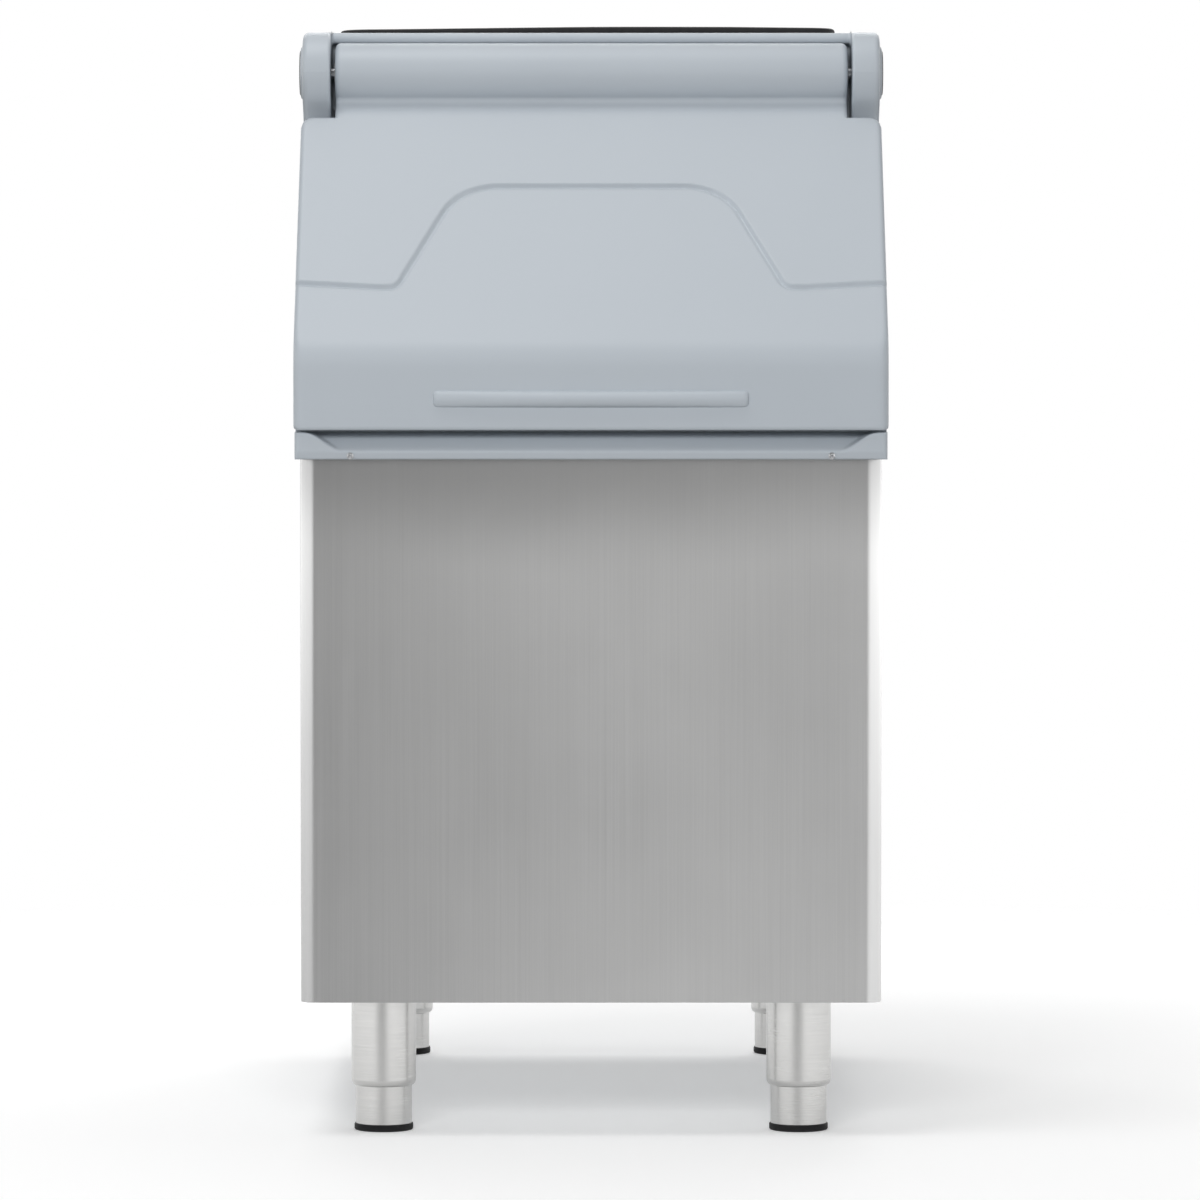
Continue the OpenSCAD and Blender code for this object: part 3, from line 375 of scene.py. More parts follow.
# Front frame. One moulding of pale grey plastic makes the bent wall round the mouth, the skirts
# over the steel sides, the crossbar and the two hinge ears, all with soft edges.
SLOPE = radians(42)
DOWN = Vector((0, -sin(SLOPE), -cos(SLOPE)))
OUT = Vector((0, -cos(SLOPE), sin(SLOPE)))
FRAME_SEAT = -0.047
FRAME_BEND_Z = 0.7364
FRAME_EDGE = 0.0012
EAR_EDGE = 0.006
EAR_INNER_EDGE = 0.003
EAR_INNER_SPAN = (0.25, 0.2575)
EAR_FOOT = 0.047
EAR_REAR = 0.045
PIN_CLEARING = 0.02
DECK_JOINT = 0.002
LIP_START = 0.0038
CLOSE = 0.0005
BAFFLE_SCREWS = 0.15

grey_plastic = Finish("grey_plastic", "grey_plastic", (0.50, 0.545, 0.59), Roughness=0.45)
pores = grey_plastic.noise(grey_plastic.stretched(1100, 1100, 1100), detail=4)
haze = grey_plastic.noise(grey_plastic.stretched(5, 5, 5), detail=3)
grey_plastic.vary("Base Color", grey_plastic.blend((0.485, 0.53, 0.575), (0.515, 0.56, 0.605), haze))
grey_plastic.vary("Roughness", 0.40 + 0.08 * haze + 0.06 * pores)
grey_plastic.relief(pores, 0.00004)

hinge = next(joint for joint in frame["joints"] if joint["name"] == "door_hinge")
AXIS = Vector(hinge["pos_m"])
frame_low, frame_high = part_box("front_frame")
front_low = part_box("outer_wrap")[0]
lip_back = front_low.y + LIP_START


def frame_rounding(middle):
    """How far an edge of the frame is rounded, from the place of its middle. The edges that the
    deck, the door's seal and the hinge pins meet stay sharp."""
    at_deck = middle.y > frame_high.y - DECK_JOINT and middle.z > AXIS.z + PIN_CLEARING
    at_seat = abs((middle - AXIS).dot(OUT) - FRAME_SEAT) < CLOSE
    at_pin = hypot(middle.y - AXIS.y, middle.z - AXIS.z) < PIN_CLEARING
    if middle.y < lip_back + CLOSE or at_deck or at_seat or at_pin:
        return 0
    if middle.z > AXIS.z - EAR_FOOT and middle.y < AXIS.y + EAR_REAR:
        if abs(middle.x) > frame_high.x - CLOSE:
            return EAR_EDGE
        if EAR_INNER_SPAN[0] < abs(middle.x) < EAR_INNER_SPAN[1]:
            return EAR_INNER_EDGE
    return FRAME_EDGE


rounded("front_frame_moulding", "front_frame", grey_plastic, "cabinet", frame_rounding,
        holes=(-BAFFLE_SCREWS, 0, BAFFLE_SCREWS), front=lip_back,
        cuts=[(AXIS, (0, 0, 1)), (AXIS + OUT * FRAME_SEAT, OUT),
              ((0, 0, FRAME_BEND_Z), (0, 0, 1))])

# Lip. The frame's lower edge stands out as a rounded band under a concave finger scoop, whose
# slanting ends run out softly into the full height of the lip.
LIP_HEIGHT = 0.026
LIP_DEPTH = 0.0288
LIP_END_EDGE = 0.005
BAND_HEIGHT = 0.007
BAND_FOOT_EDGE = 0.0018
LIP_TOP_EDGE = 0.002
SCOOP_REACH = 0.0285
SCOOP_CURVE = 1.25
SCOOP_HALF = 0.2415
SCOOP_SLANT = 1.55
SCOOP_BLEND = 0.013
SCOOP_STEPS = 22
BAND_FOOT_STEPS = 5
BAND_LEAN = 0.0024
EDGE_DEPTHS = [0, 0.0001, 0.0004, 0.001, 0.0019, 0.003, 0.0044, 0.0062, 0.0095, 0.014]


def smooth(share):
    """A soft step from 0 to 1."""
    share = min(1, max(0, share))
    return share * share * (3 - 2 * share)


def rolled(depth, radius):
    """How far an edge of that radius has fallen away at a depth in from the outline."""
    if depth >= radius:
        return 0
    return radius - sqrt(radius ** 2 - (radius - max(depth, 0)) ** 2)


def stations(*stops):
    """Positions from the first stop on, each stretch divided by the step given with its end."""
    places = [stops[0]]
    for end, step in stops[1:]:
        start = places[-1]
        count = max(1, round(abs(end - start) / step))
        places += [start + (end - start) * i / count for i in range(1, count + 1)]
    return places


# Rows from the lip's foot to its top, each with a depth and a height inside the scoop, and a
# depth and a height beside it.
lip_rows = [((LIP_DEPTH, 0), (LIP_DEPTH, 0))]
for i in range(BAND_FOOT_STEPS + 1):
    angle = pi / 2 * i / BAND_FOOT_STEPS
    foot = (BAND_FOOT_EDGE * (1 - sin(angle)), BAND_FOOT_EDGE * (1 - cos(angle)))
    lip_rows.append((foot, foot))
for share in (0.5, 0.8, 0.95):
    lip_rows.append(((0, BAND_HEIGHT * share), (0, BAND_HEIGHT * share)))
for i in range(1, SCOOP_STEPS + 1):
    share = i / SCOOP_STEPS
    hollow = (SCOOP_REACH * share ** SCOOP_CURVE, BAND_HEIGHT + (LIP_HEIGHT - BAND_HEIGHT) * share)
    height = BAND_HEIGHT + (LIP_HEIGHT - BAND_HEIGHT) * sin(pi / 2 * i / SCOOP_STEPS)
    lip_rows.append((hollow, (rolled(LIP_HEIGHT - height, LIP_TOP_EDGE), height)))
lip_rows.append(((LIP_DEPTH, LIP_HEIGHT), (LIP_DEPTH, LIP_HEIGHT)))

lip = bmesh.new()
lip_half = frame_high.x
right_columns = stations(0, (0.220, 0.028), (0.270, 0.0014))
right_columns += [lip_half - depth for depth in reversed(EDGE_DEPTHS)]
lip_columns = [-x for x in reversed(right_columns[1:])] + right_columns
strips = []
for x in lip_columns:
    strip = []
    for (cut_depth, cut_height), (plain_depth, plain_height) in lip_rows:
        scoop_edge = SCOOP_HALF + SCOOP_SLANT * max(cut_height - BAND_HEIGHT, 0)
        share = smooth(0.5 + (scoop_edge - abs(x)) / SCOOP_BLEND)
        depth = plain_depth + (cut_depth - plain_depth) * share
        height = plain_height + (cut_height - plain_height) * share
        depth += BAND_LEAN * max(0, 1 - height / BAND_HEIGHT)
        depth = max(depth, rolled(lip_half - abs(x), LIP_END_EDGE))
        strip.append(lip.verts.new((x, frame_low.y + depth, frame_low.z + height)))
    strips.append(strip)
for left, right in zip(strips, strips[1:]):
    for i in range(len(lip_rows) - 1):
        lip.faces.new((left[i], right[i], right[i + 1], left[i + 1]))
lip.faces.new(strips[0])
lip.faces.new(strips[-1])
piece_of(lip, "frame_lip", grey_plastic, "cabinet", corner=50)

# Deck. A second moulding of the same grey plastic closes the top round the opening that the
# ice drops through. Brass inserts in its corners take the ice maker's screws.
DECK_EDGE = 0.006
DROP_EDGE = 0.002
DROP_REACH = 0.21
INSERT_EDGE = 0.0004
SEAM_EDGE = 0.0004
DECK_SCREWS = 0.262

deck_low, deck_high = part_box("top_panel")


def deck_rounding(middle):
    """How far each edge of the deck is rounded, from the place of its middle."""
    at_side = abs(middle.x) > deck_high.x - CLOSE
    at_rear = middle.y > deck_high.y - CLOSE
    at_top = middle.z > deck_high.z - 2 * CLOSE
    if at_side and at_rear or (at_side or at_rear) and at_top:
        return DECK_EDGE
    if middle.y < deck_low.y + CLOSE:
        return SEAM_EDGE
    if abs(middle.x) < DROP_REACH and at_top:
        return DROP_EDGE
    return 0


rounded("deck_moulding", "top_panel", grey_plastic, "cabinet", deck_rounding,
        holes=(-DECK_SCREWS, 0, DECK_SCREWS))

brass = Finish("brass", "brass", (0.60, 0.43, 0.17), Metallic=1.0, Roughness=0.32)
tarnish = brass.noise(brass.stretched(240, 240, 240), detail=4)
brass.vary("Base Color", brass.blend((0.42, 0.29, 0.12), (0.68, 0.50, 0.22), tarnish))
brass.vary("Roughness", 0.24 + 0.2 * tarnish)
rounded("deck_inserts_brass", "deck_inserts", brass, "cabinet", INSERT_EDGE,
        holes=(-DECK_SCREWS, DECK_SCREWS))

# Deck gasket. A black rubber strip laid in a ring round the drop opening, on which the ice
# maker's base is sealed. It lies a little further out on the left, and is flatter there.
GASKET_RING_R = 0.03
GASKET_WIDTH = 0.014
GASKET_LEFT_OUT = 0.007
GASKET_LEFT_SAG = 0.0026
GASKET_LEFT_FROM = 0.03
GASKET_LEFT_RUN = 0.28
GASKET_RIGHT_SAG = 0.0010
GASKET_RIGHT_FROM = 0.12
GASKET_RIGHT_RUN = 0.12
GASKET_WAVES = 0.0002
GASKET_FOOT_EDGE = 0.0008
GASKET_FOOT_HEIGHT = 0.0012
GASKET_BULGE = 0.0002
GASKET_ARCH = 0.38
GASKET_STEPS = 8


def round_path(low, high, radius, steps=10):
    """Points and outward directions round a rectangle with rounded corners."""
    path = []
    corners = [(high.x, high.y), (low.x, high.y), (low.x, low.y), (high.x, low.y)]
    for turn, (x, y) in enumerate(corners):
        side_x = 1 if x == high.x else -1
        side_y = 1 if y == high.y else -1
        centre = Vector((x - radius * side_x, y - radius * side_y))
        for i in range(steps + 1):
            angle = pi / 2 * (turn + i / steps)
            side = Vector((cos(angle), sin(angle)))
            path.append((centre + radius * side, side))
    return path


def subdivided(path, longest):
    """The same path with points added, so that no stretch is longer than that."""
    points = []
    for (start, side), (end, next_side) in zip(path, path[1:] + path[:1]):
        parts = ceil((end - start).length / longest)
        points += [(start.lerp(end, i / parts), side.lerp(next_side, i / parts).normalized())
                   for i in range(max(parts, 1))]
    return points


def swept_ring(mesh, path, section, place):
    """Carries a closed section of pairs, outward and up, round a closed path."""
    rings = []
    for point, side in path:
        ring = []
        for across, up in section(point):
            spot = point + side * across
            ring.append(mesh.verts.new(place @ Vector((spot.x, spot.y, up))))
        rings.append(ring)
    close_rings(mesh, rings + rings[:1])


gasket_low, gasket_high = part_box("top_gasket")


def gasket_section(point):
    """A strip with a flat foot, bulged sides and an arched back that is lower at its ends."""
    sag = GASKET_LEFT_SAG * smooth((GASKET_LEFT_FROM - point.x) / GASKET_LEFT_RUN)
    sag += GASKET_RIGHT_SAG * smooth((point.x - GASKET_RIGHT_FROM) / GASKET_RIGHT_RUN)
    waves = GASKET_WAVES * (1 + sin(31 * point.x) * sin(23 * point.y + 1))
    top = gasket_high.z - gasket_low.z - sag - waves
    half = GASKET_WIDTH / 2
    flank = [(half - GASKET_FOOT_EDGE, 0), (half, GASKET_FOOT_HEIGHT), (half - GASKET_BULGE, top / 2)]
    section = [(-across, up) for across, up in flank]
    for i in range(GASKET_STEPS + 1):
        angle = pi * (1 - i / GASKET_STEPS)
        section.append(((half - 3 * GASKET_BULGE) * cos(angle),
                        top * (1 - GASKET_ARCH + GASKET_ARCH * sin(angle))))
    return section + flank[::-1]


strip = bmesh.new()
inset = Vector((GASKET_WIDTH / 2, GASKET_WIDTH / 2))
outward = Vector((GASKET_LEFT_OUT, 0))
ring = round_path(gasket_low.xy + inset - outward, gasket_high.xy - inset,
                  GASKET_RING_R - GASKET_WIDTH / 2)
swept_ring(strip, subdivided(ring, 0.02), gasket_section, Matrix.Translation((0, 0, gasket_low.z)))
piece_of(strip, "deck_gasket", rubber, "cabinet", "top_gasket", corner=60)

# Screws. Zinc-plated pan-head screws with a cross recess hold the lip, the rear panel, the
# door's inner skin and the ice baffle.
HEAD_R = 0.0033
HEAD_EDGE = 0.0002
SHANK_R = 0.002
TIP_HEIGHT = 0.0012
DOME_SHARE = 0.55
CROSS_HALF = 0.0005
CROSS_REACH = 0.62
CROSS_FLOOR = 0.45
LIP_HEAD = 0.001
PAN_HEAD = 0.002


def solids_of(node):
    """The points of each separate solid of a CAD node."""
    mesh = bmesh.new()
    mesh.from_mesh(frame["nodes"][node].data)
    bmesh.ops.remove_doubles(mesh, verts=mesh.verts, dist=MERGED)
    reached = set()
    solids = []
    for start in mesh.verts:
        if start in reached:
            continue
        reached.add(start)
        found = [start]
        for vertex in found:
            for edge in vertex.link_edges:
                other = edge.other_vert(vertex)
                if other not in reached:
                    reached.add(other)
                    found.append(other)
        solids.append([vertex.co.copy() for vertex in found])
    mesh.free()
    return solids


def facing(points, up):
    """The place whose Z axis is up, over the middle of the points and at their lowest, and how
    far the points reach up from it."""
    side = Vector((1, 0, 0))
    third = up.cross(side)
    place = Matrix((side, third, up)).transposed()
    spans = [[point.dot(way) for point in points] for way in (side, third, up)]
    middle = [(min(span) + max(span)) / 2 for span in spans[:2]] + [min(spans[2])]
    return Matrix.Translation(place @ Vector(middle)) @ place.to_4x4(), max(spans[2]) - min(spans[2])


def screws(name, node, body, up, head):
    """Screws whose heads point up, each with a rounded head and a cross recess."""
    mesh = bmesh.new()
    for points in solids_of(node):
        place, length = facing(points, up)

        def recess(share):
            """Height of the head's face at that share of its radius, lower inside the cross."""
            dome = length - head * DOME_SHARE * share ** 2

            def height(angle):
                arm = share * HEAD_R * min(abs(sin(angle)), abs(cos(angle)))
                inside = arm < CROSS_HALF and share < CROSS_REACH
                return dome - (head * 0.5 * (1 - share) if inside else 0)
            return height

        foot = length - head
        outline = [(0, 0), (SHANK_R * 0.6, 0), (SHANK_R, TIP_HEIGHT), (SHANK_R, foot)]
        outline += [(HEAD_R - HEAD_EDGE, foot), (HEAD_R, foot + HEAD_EDGE)]
        for share in (1, 0.9, 0.75, CROSS_REACH, 0.6, 0.4, 0.22, 0.2):
            outline.append((HEAD_R * share, recess(share)))
        outline.append((0, length - head * CROSS_FLOOR))
        turned_form(mesh, outline, place, around=48)
    piece_of(mesh, name, zinc, body, node, corner=40)


FORWARD = Vector((0, -1, 0))
screws("lip_screws_zinc", "lip_screws", "cabinet", FORWARD, LIP_HEAD)
screws("rear_screws_zinc", "rear_screws", "cabinet", -FORWARD, PAN_HEAD)

# Ice baffle. A white plastic plate, bent along its top, hangs inside the mouth and keeps ice
# from pouring out. Two screws through its sloping top and the liner hold it to the frame.
BAFFLE_EDGE = 0.0007

rounded("ice_baffle_plate", "ice_baffle", white_plastic, "cabinet", BAFFLE_EDGE,
        holes=(-BAFFLE_SCREWS, BAFFLE_SCREWS))
screws("baffle_screws_zinc", "baffle_screws", "cabinet", -OUT, PAN_HEAD)

# Drain. A white nylon fitting with a wide flange passes through the floor, with a rubber seal
# above, a six-sided nut below and a punched stainless strainer over its mouth.
SEAL_BORE = 0.0131
SEAL_ROUND = 72
SEAL_SECTION = 24
FITTING_EDGE = 0.0006
NUT_EDGE = 0.0008

nylon = Finish("nylon", "nylon", (0.74, 0.73, 0.69), Roughness=0.4)
flow = nylon.noise(nylon.stretched(90, 90, 22), detail=4)
nylon.vary("Base Color", nylon.blend((0.68, 0.67, 0.63), (0.80, 0.79, 0.76), flow))
nylon.vary("Roughness", 0.34 + 0.14 * flow)
rounded("drain_fitting_moulded", "drain_fitting", nylon, "cabinet", FITTING_EDGE, holes=(0,))
rounded("drain_nut_moulded", "drain_nut", nylon, "cabinet", NUT_EDGE, holes=(0,))
rounded("drain_strainer_punched", "drain_strainer", stainless, "cabinet")

seal_low, seal_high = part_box("drain_seal")
seal_middle = (seal_low + seal_high) / 2
seal_width = (seal_high.x - seal_low.x) / 2 - SEAL_BORE


def seal_section(point):
    """A flat ring's section, whose upright sides bulge a little."""
    section = []
    for i in range(SEAL_SECTION):
        angle = 2 * pi * i / SEAL_SECTION
        across = seal_width / 2 * cos(angle) * (1 - 0.03 * abs(sin(angle)))
        up = (seal_high.z - seal_low.z) / 2 * (1 + max(-1, min(1, 3 * sin(angle))))
        section.append((across, up))
    return section


seal = bmesh.new()
circle = [Vector((cos(2 * pi * i / SEAL_ROUND), sin(2 * pi * i / SEAL_ROUND)))
          for i in range(SEAL_ROUND)]
swept_ring(seal, [(side * (SEAL_BORE + seal_width / 2), side) for side in circle], seal_section,
           Matrix.Translation((seal_middle.x, seal_middle.y, seal_low.z)))
piece_of(seal, "drain_seal_rubber", rubber, "cabinet", "drain_seal", corner=60)

# Hinge. Each end of the door's barrel turns in a nylon bush on a zinc-plated pin. The pin's head
# sits in the ear under a thin black cap, in a low round boss of the frame's grey plastic.
BOSS_R = 0.026
BOSS_SUNK = -0.001
BOSS_FOOT = 0.0002
BOSS_TOP = 0.0024
BOSS_ROUND = 0.0034
CAP_R = 0.022
CAP_PLAY = 0.0001
CAP_FLOOR = 0.0016
CAP_SUNK = 0.0002
CAP_ROUND = [(0, 0.0026), (0.0003, 0.003), (0.0012, 0.0033)]
CAP_DOME = 0.00345
CAP_TOP = 0.0035
ARC_STEPS = 6

zinc.on("hinge_pin_left", "hinge_pin_right")
nylon.on("door_bush_left", "door_bush_right")

black_plastic = Finish("black_plastic", "black_plastic", (0.03, 0.033, 0.038), Roughness=0.4)
pores = black_plastic.noise(black_plastic.stretched(1300, 1300, 1300), detail=3)
scuffs = black_plastic.noise(black_plastic.stretched(60, 60, 60), detail=5)
black_plastic.vary("Base Color",
                   black_plastic.blend((0.022, 0.024, 0.028), (0.045, 0.048, 0.053), scuffs))
black_plastic.vary("Roughness", 0.34 + 0.16 * scuffs)
black_plastic.relief(pores, 0.00005)

# Outlines of the boss and of the cap, as radius and height over the ear's side.
boss_outline = [(0, BOSS_SUNK), (BOSS_R, BOSS_SUNK), (BOSS_R, BOSS_FOOT)]
for i in range(1, ARC_STEPS + 1):
    angle = pi / 2 * i / ARC_STEPS
    boss_outline.append((BOSS_R - BOSS_ROUND * (1 - cos(angle)),
                         BOSS_FOOT + (BOSS_TOP - BOSS_FOOT) * sin(angle)))
boss_outline += [(CAP_R + CAP_PLAY, BOSS_TOP), (CAP_R + CAP_PLAY, CAP_FLOOR), (0, CAP_FLOOR)]
cap_outline = [(0, CAP_FLOOR - CAP_SUNK), (CAP_R, CAP_FLOOR - CAP_SUNK)]
cap_outline += [(CAP_R - inward, height) for inward, height in CAP_ROUND]
cap_outline += [(CAP_R / 2, CAP_DOME), (0, CAP_TOP)]

for side, name in ((-1, "left"), (1, "right")):
    place = Matrix.Translation((side * frame_high.x, AXIS.y, AXIS.z))
    place = place @ Matrix.Rotation(side * pi / 2, 4, "Y")
    boss = bmesh.new()
    turned_form(boss, boss_outline, place, around=96)
    piece_of(boss, f"hinge_boss_{name}", grey_plastic, "cabinet", corner=50)
    cap = bmesh.new()
    turned_form(cap, cap_outline, place, around=96)
    piece_of(cap, f"hinge_cap_{name}_disc", black_plastic, "cabinet", f"hinge_cap_{name}", corner=50)

# Door's outer skin. A grey plastic moulding with a round barrel along its top, a raised sloping
# face that ends in a soft step, an upright lower face, and a finger rib near its lower edge.
RAISED = -0.0048
STEP = 0.0022
DOOR_BACK = -0.043
BARREL_R = 0.0295
BARREL_HALF = 0.2522
BARREL_EDGE = 0.006
NECK_HALF = BARREL_HALF - 0.0004
NECK_T = 0.053
NECK_FILLET = 0.005
NECK_VALLEY = -0.0085
NECK_RUN = 0.052
SHOULDER_R = 0.013
DOOR_BEND = 0.040
DOOR_WALL = 0.0035
SHELF_T = 0.004
INSIDE_BARREL = -0.02
FOOT_CORNER = 0.004
FOOT_EDGE = 0.0035
SLOPE_EDGE = 0.005
UPRIGHT_EDGE = 0.0095
UPRIGHT_FROM = 0.335
UPRIGHT_RUN = 0.03
STEP_BLEND = 0.0036
STEP_DIP = 0.0018
SIDE_TILT = 0.07
SIDE_MIDDLE = 0.236
STEP_TOP_T = 0.1449
STEP_LOW_T = 0.2751
STEP_TOP_HALF = 0.129
STEP_LOW_HALF = 0.187
STEP_TOP_R = 0.060
STEP_LOW_R = 0.015
RIB_OUT = 0.008
RIB_END_OUT = 0.004
RIB_HALF = 0.151
RIB_MIDDLE = 0.030
RIB_HEIGHT = 0.016
RIB_TIP = 0.006
RIB_ROOT = 0.0005
RIB_TIP_SHARE = 0.6
RIB_STEPS = 14
FILLET_STEPS = 8
BEND_STEPS = 12
JUST = 0.00001

skin_low, skin_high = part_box("door_outer_skin")
door_half = skin_high.x
upright_y = skin_low.y + RIB_OUT
lower = RAISED - STEP
side_run = Vector((STEP_LOW_HALF - STEP_TOP_HALF, STEP_LOW_T - STEP_TOP_T)).normalized()


def on_slope(t, o):
    """The point at t down the slope from the hinge axis and o outwards from it."""
    return AXIS + DOWN * t + OUT * o


def joined(first, second, lean, radius):
    """Distance outside two lines that an arc joins. lean is the cosine between their normals."""
    u = (first + radius - (second + radius) * lean) / (1 - lean ** 2)
    v = (second + radius - (first + radius) * lean) / (1 - lean ** 2)
    if u > 0 and v > 0:
        return sqrt(u * (first + radius) + v * (second + radius)) - radius
    return max(first, second)


def rise(x, t):
    """How high the raised face stands over the lower one, softly blended along the step's line."""
    above_top = STEP_TOP_T - t
    beside = (abs(x) - STEP_TOP_HALF) * side_run.y + above_top * side_run.x
    panel = joined(above_top, beside, side_run.x, STEP_TOP_R)
    below = t - STEP_LOW_T + SIDE_TILT * (abs(x) - SIDE_MIDDLE)
    raised = panel
    if t > STEP_TOP_T + STEP_TOP_R:
        raised = -joined(-panel, below, side_run.x, STEP_LOW_R)
    foot = max(0, 1 - abs(raised + STEP_BLEND / 2) / STEP_BLEND)
    return STEP * smooth(0.5 + raised / STEP_BLEND) - STEP_DIP * smooth(foot)


# Rows of the face, from the barrel down: a point, the direction out of the face, the distance
# down the slope, and the distance left to the lower edge, which is 1 where the edge is far.
rows = []
fillet_t = sqrt((BARREL_R + NECK_FILLET) ** 2 - (NECK_VALLEY + NECK_FILLET) ** 2)
fillet_start = pi + atan2(NECK_VALLEY + NECK_FILLET, fillet_t)
for i in range(FILLET_STEPS):
    angle = fillet_start + (1.5 * pi - fillet_start) * i / FILLET_STEPS
    t = fillet_t + NECK_FILLET * cos(angle)
    spot = on_slope(t, NECK_VALLEY + NECK_FILLET * (1 + sin(angle)))
    rows.append((spot, -DOWN * cos(angle) - OUT * sin(angle), t, 1))

bend_t = (AXIS.y - cos(SLOPE) * (lower - DOOR_BEND) - (upright_y + DOOR_BEND)) / sin(SLOPE)
bend_middle = on_slope(bend_t, lower - DOOR_BEND)

WING_DEPTHS = EDGE_DEPTHS + [0.022, 0.035]
# Rows and columns stand closest together where the step and the rolled edges run.
ways = stations(fillet_t, (NECK_T, 0.003))
ways += [NECK_T + depth for depth in EDGE_DEPTHS[1:7]] + [NECK_T + 0.0068]
ways += stations(NECK_T + SHOULDER_R, (0.138, 0.009), (0.151, 0.0007), (0.187, 0.0014), (0.266, 0.002),
                 (0.285, 0.0008), (0.290, 0.003), (bend_t, 0.008))
rows += [(on_slope(t, lower), OUT, t, 1) for t in ways]
for i in range(1, BEND_STEPS + 1):
    angle = SLOPE * (1 - i / BEND_STEPS)
    out = Vector((0, -cos(angle), sin(angle)))
    rows.append((bend_middle + out * DOOR_BEND, out, bend_t + DOOR_BEND * (SLOPE - angle), 1))
heights = stations(bend_middle.z, (skin_low.z + 0.008, 0.007), (skin_low.z + FOOT_CORNER, 0.002))[1:]
heights += [skin_low.z + depth for depth in (0.003, 0.0021, 0.0014, 0.0008, 0.0004, 0.0001, 0)]
rows += [(Vector((0, upright_y, z)), FORWARD, bend_t + DOOR_BEND * SLOPE + bend_middle.z - z,
          z - skin_low.z) for z in heights]

inner = stations(0, (0.088, 0.012), (0.192, 0.0013), (0.236, 0.007), (0.244, 0.002))
inner += [NECK_HALF - depth for depth in (0.004, 0.003, 0.002, 0.0012, 0.0006, 0.0002, 0)]
columns = [(-x, None) for x in reversed(inner[1:])] + [(x, None) for x in inner]

# Columns over the wings hold a side and the distance in from the door's outline instead.
outer = list(reversed(WING_DEPTHS[:-1]))
columns = [(-1, depth) for depth in reversed(outer)] + columns + [(1, depth) for depth in outer]


def outline_half(t, left):
    """Half the width of the door's wide panel, narrower at its shoulders and lower corners."""
    if t < NECK_T + SHOULDER_R:
        dip = NECK_T + SHOULDER_R - t
        return door_half - SHOULDER_R + sqrt(max(SHOULDER_R ** 2 - dip ** 2, 0))
    if left < FOOT_CORNER:
        return door_half - FOOT_CORNER + sqrt(FOOT_CORNER ** 2 - (FOOT_CORNER - left) ** 2)
    return door_half


def skin_point(row, column):
    """A point of the outer face, with its step and its rolled edges."""
    spot, out, t, left = row
    x, depth = column
    half = outline_half(t, left)
    if depth is not None:
        room = (half - NECK_HALF) / (door_half - NECK_HALF)
        x = x * (half - depth * room)
    if t < NECK_T:
        inward = NECK_HALF - abs(x)
    elif abs(x) < NECK_HALF:
        inward = hypot(NECK_HALF - abs(x), t - NECK_T)
    else:
        inward = -joined(abs(x) - door_half, NECK_T - t, 0, SHOULDER_R)
        inward = min(inward, half - abs(x))
    edge = SLOPE_EDGE + (UPRIGHT_EDGE - SLOPE_EDGE) * smooth((t - UPRIGHT_FROM) / UPRIGHT_RUN)
    fall = max(rolled(inward, edge), rolled(left, FOOT_EDGE))
    height = 0
    if t > fillet_t - JUST:
        valley = (RAISED - NECK_VALLEY) * (1 - smooth((t - fillet_t) / (NECK_RUN - fillet_t)))
        height = rise(x, t) - valley
    return Vector((x, 0, 0)) + spot + out * (height - fall)


skin = bmesh.new()
grid = {}
for i, row in enumerate(rows):
    for j, column in enumerate(columns):
        below_neck = row[2] > NECK_T - JUST
        if column[1] is None or below_neck:
            grid[i, j] = skin.verts.new(skin_point(row, column))
for i, j in grid:
    around = [(i, j), (i, j + 1), (i + 1, j + 1), (i + 1, j)]
    if all(key in grid for key in around):
        skin.faces.new([grid[key] for key in around])

# The edge of the face runs back to the door's rear plane, then inwards as a rim.
wing = len(outer)
last = len(columns) - 1
neck_row = next(i for i, row in enumerate(rows) if row[2] > NECK_T - JUST)
bottom = len(rows) - 1
loop = [(0, j) for j in range(wing, last - wing + 1)]
loop += [(i, last - wing) for i in range(1, neck_row)]
loop += [(neck_row, j) for j in range(last - wing, last)]
loop += [(i, last) for i in range(neck_row, bottom)]
loop += [(bottom, j) for j in range(last, 0, -1)]
loop += [(i, 0) for i in range(bottom, neck_row, -1)]
loop += [(neck_row, j) for j in range(0, wing)]
loop += [(i, wing) for i in range(neck_row, 0, -1)]


def rear_point(i, x):
    """Where the door's rear plane lies behind a row of the face."""
    spot, out, t, left = rows[i]
    if i <= neck_row:
        start = rows[0][2]
        return on_slope((t - start) / (NECK_T - start) * NECK_T, DOOR_BACK) + Vector((x, 0, 0))
    over_slope = (spot - AXIS).dot(OUT) - DOOR_BACK
    over_upright = front_low.y - spot.y
    reach = max(over_slope / out.dot(OUT), over_upright / out.dot(FORWARD))
    return spot - out * reach + Vector((x, 0, 0))


rim = [skin.verts.new(rear_point(i, grid[i, j].co.x)) for i, j in loop]
shelf = []
for k, (i, j) in enumerate(loop):
    before, here, after = rim[k - 1].co, rim[k].co, rim[(k + 1) % len(rim)].co
    back = -OUT if i < bottom - len(heights) - BEND_STEPS // 2 else -FORWARD
    turn = ((here - before).normalized() + (after - here).normalized()).normalized()
    square = max((after - here).normalized().dot(turn), 0.5)
    shelf.append(skin.verts.new(here + back.cross(turn) * DOOR_WALL / square))
inside = [skin.verts.new(vertex.co + OUT * SHELF_T) for vertex in shelf]
halfway = []
for k, (i, j) in enumerate(loop):
    if i == 0:
        halfway.append(skin.verts.new(on_slope(0, INSIDE_BARREL) + Vector((grid[i, j].co.x, 0, 0))))
    else:
        halfway.append(skin.verts.new(grid[i, j].co.lerp(rim[k].co, 0.5)))
close_rings(skin, [[grid[key] for key in loop], halfway, rim, shelf, inside])
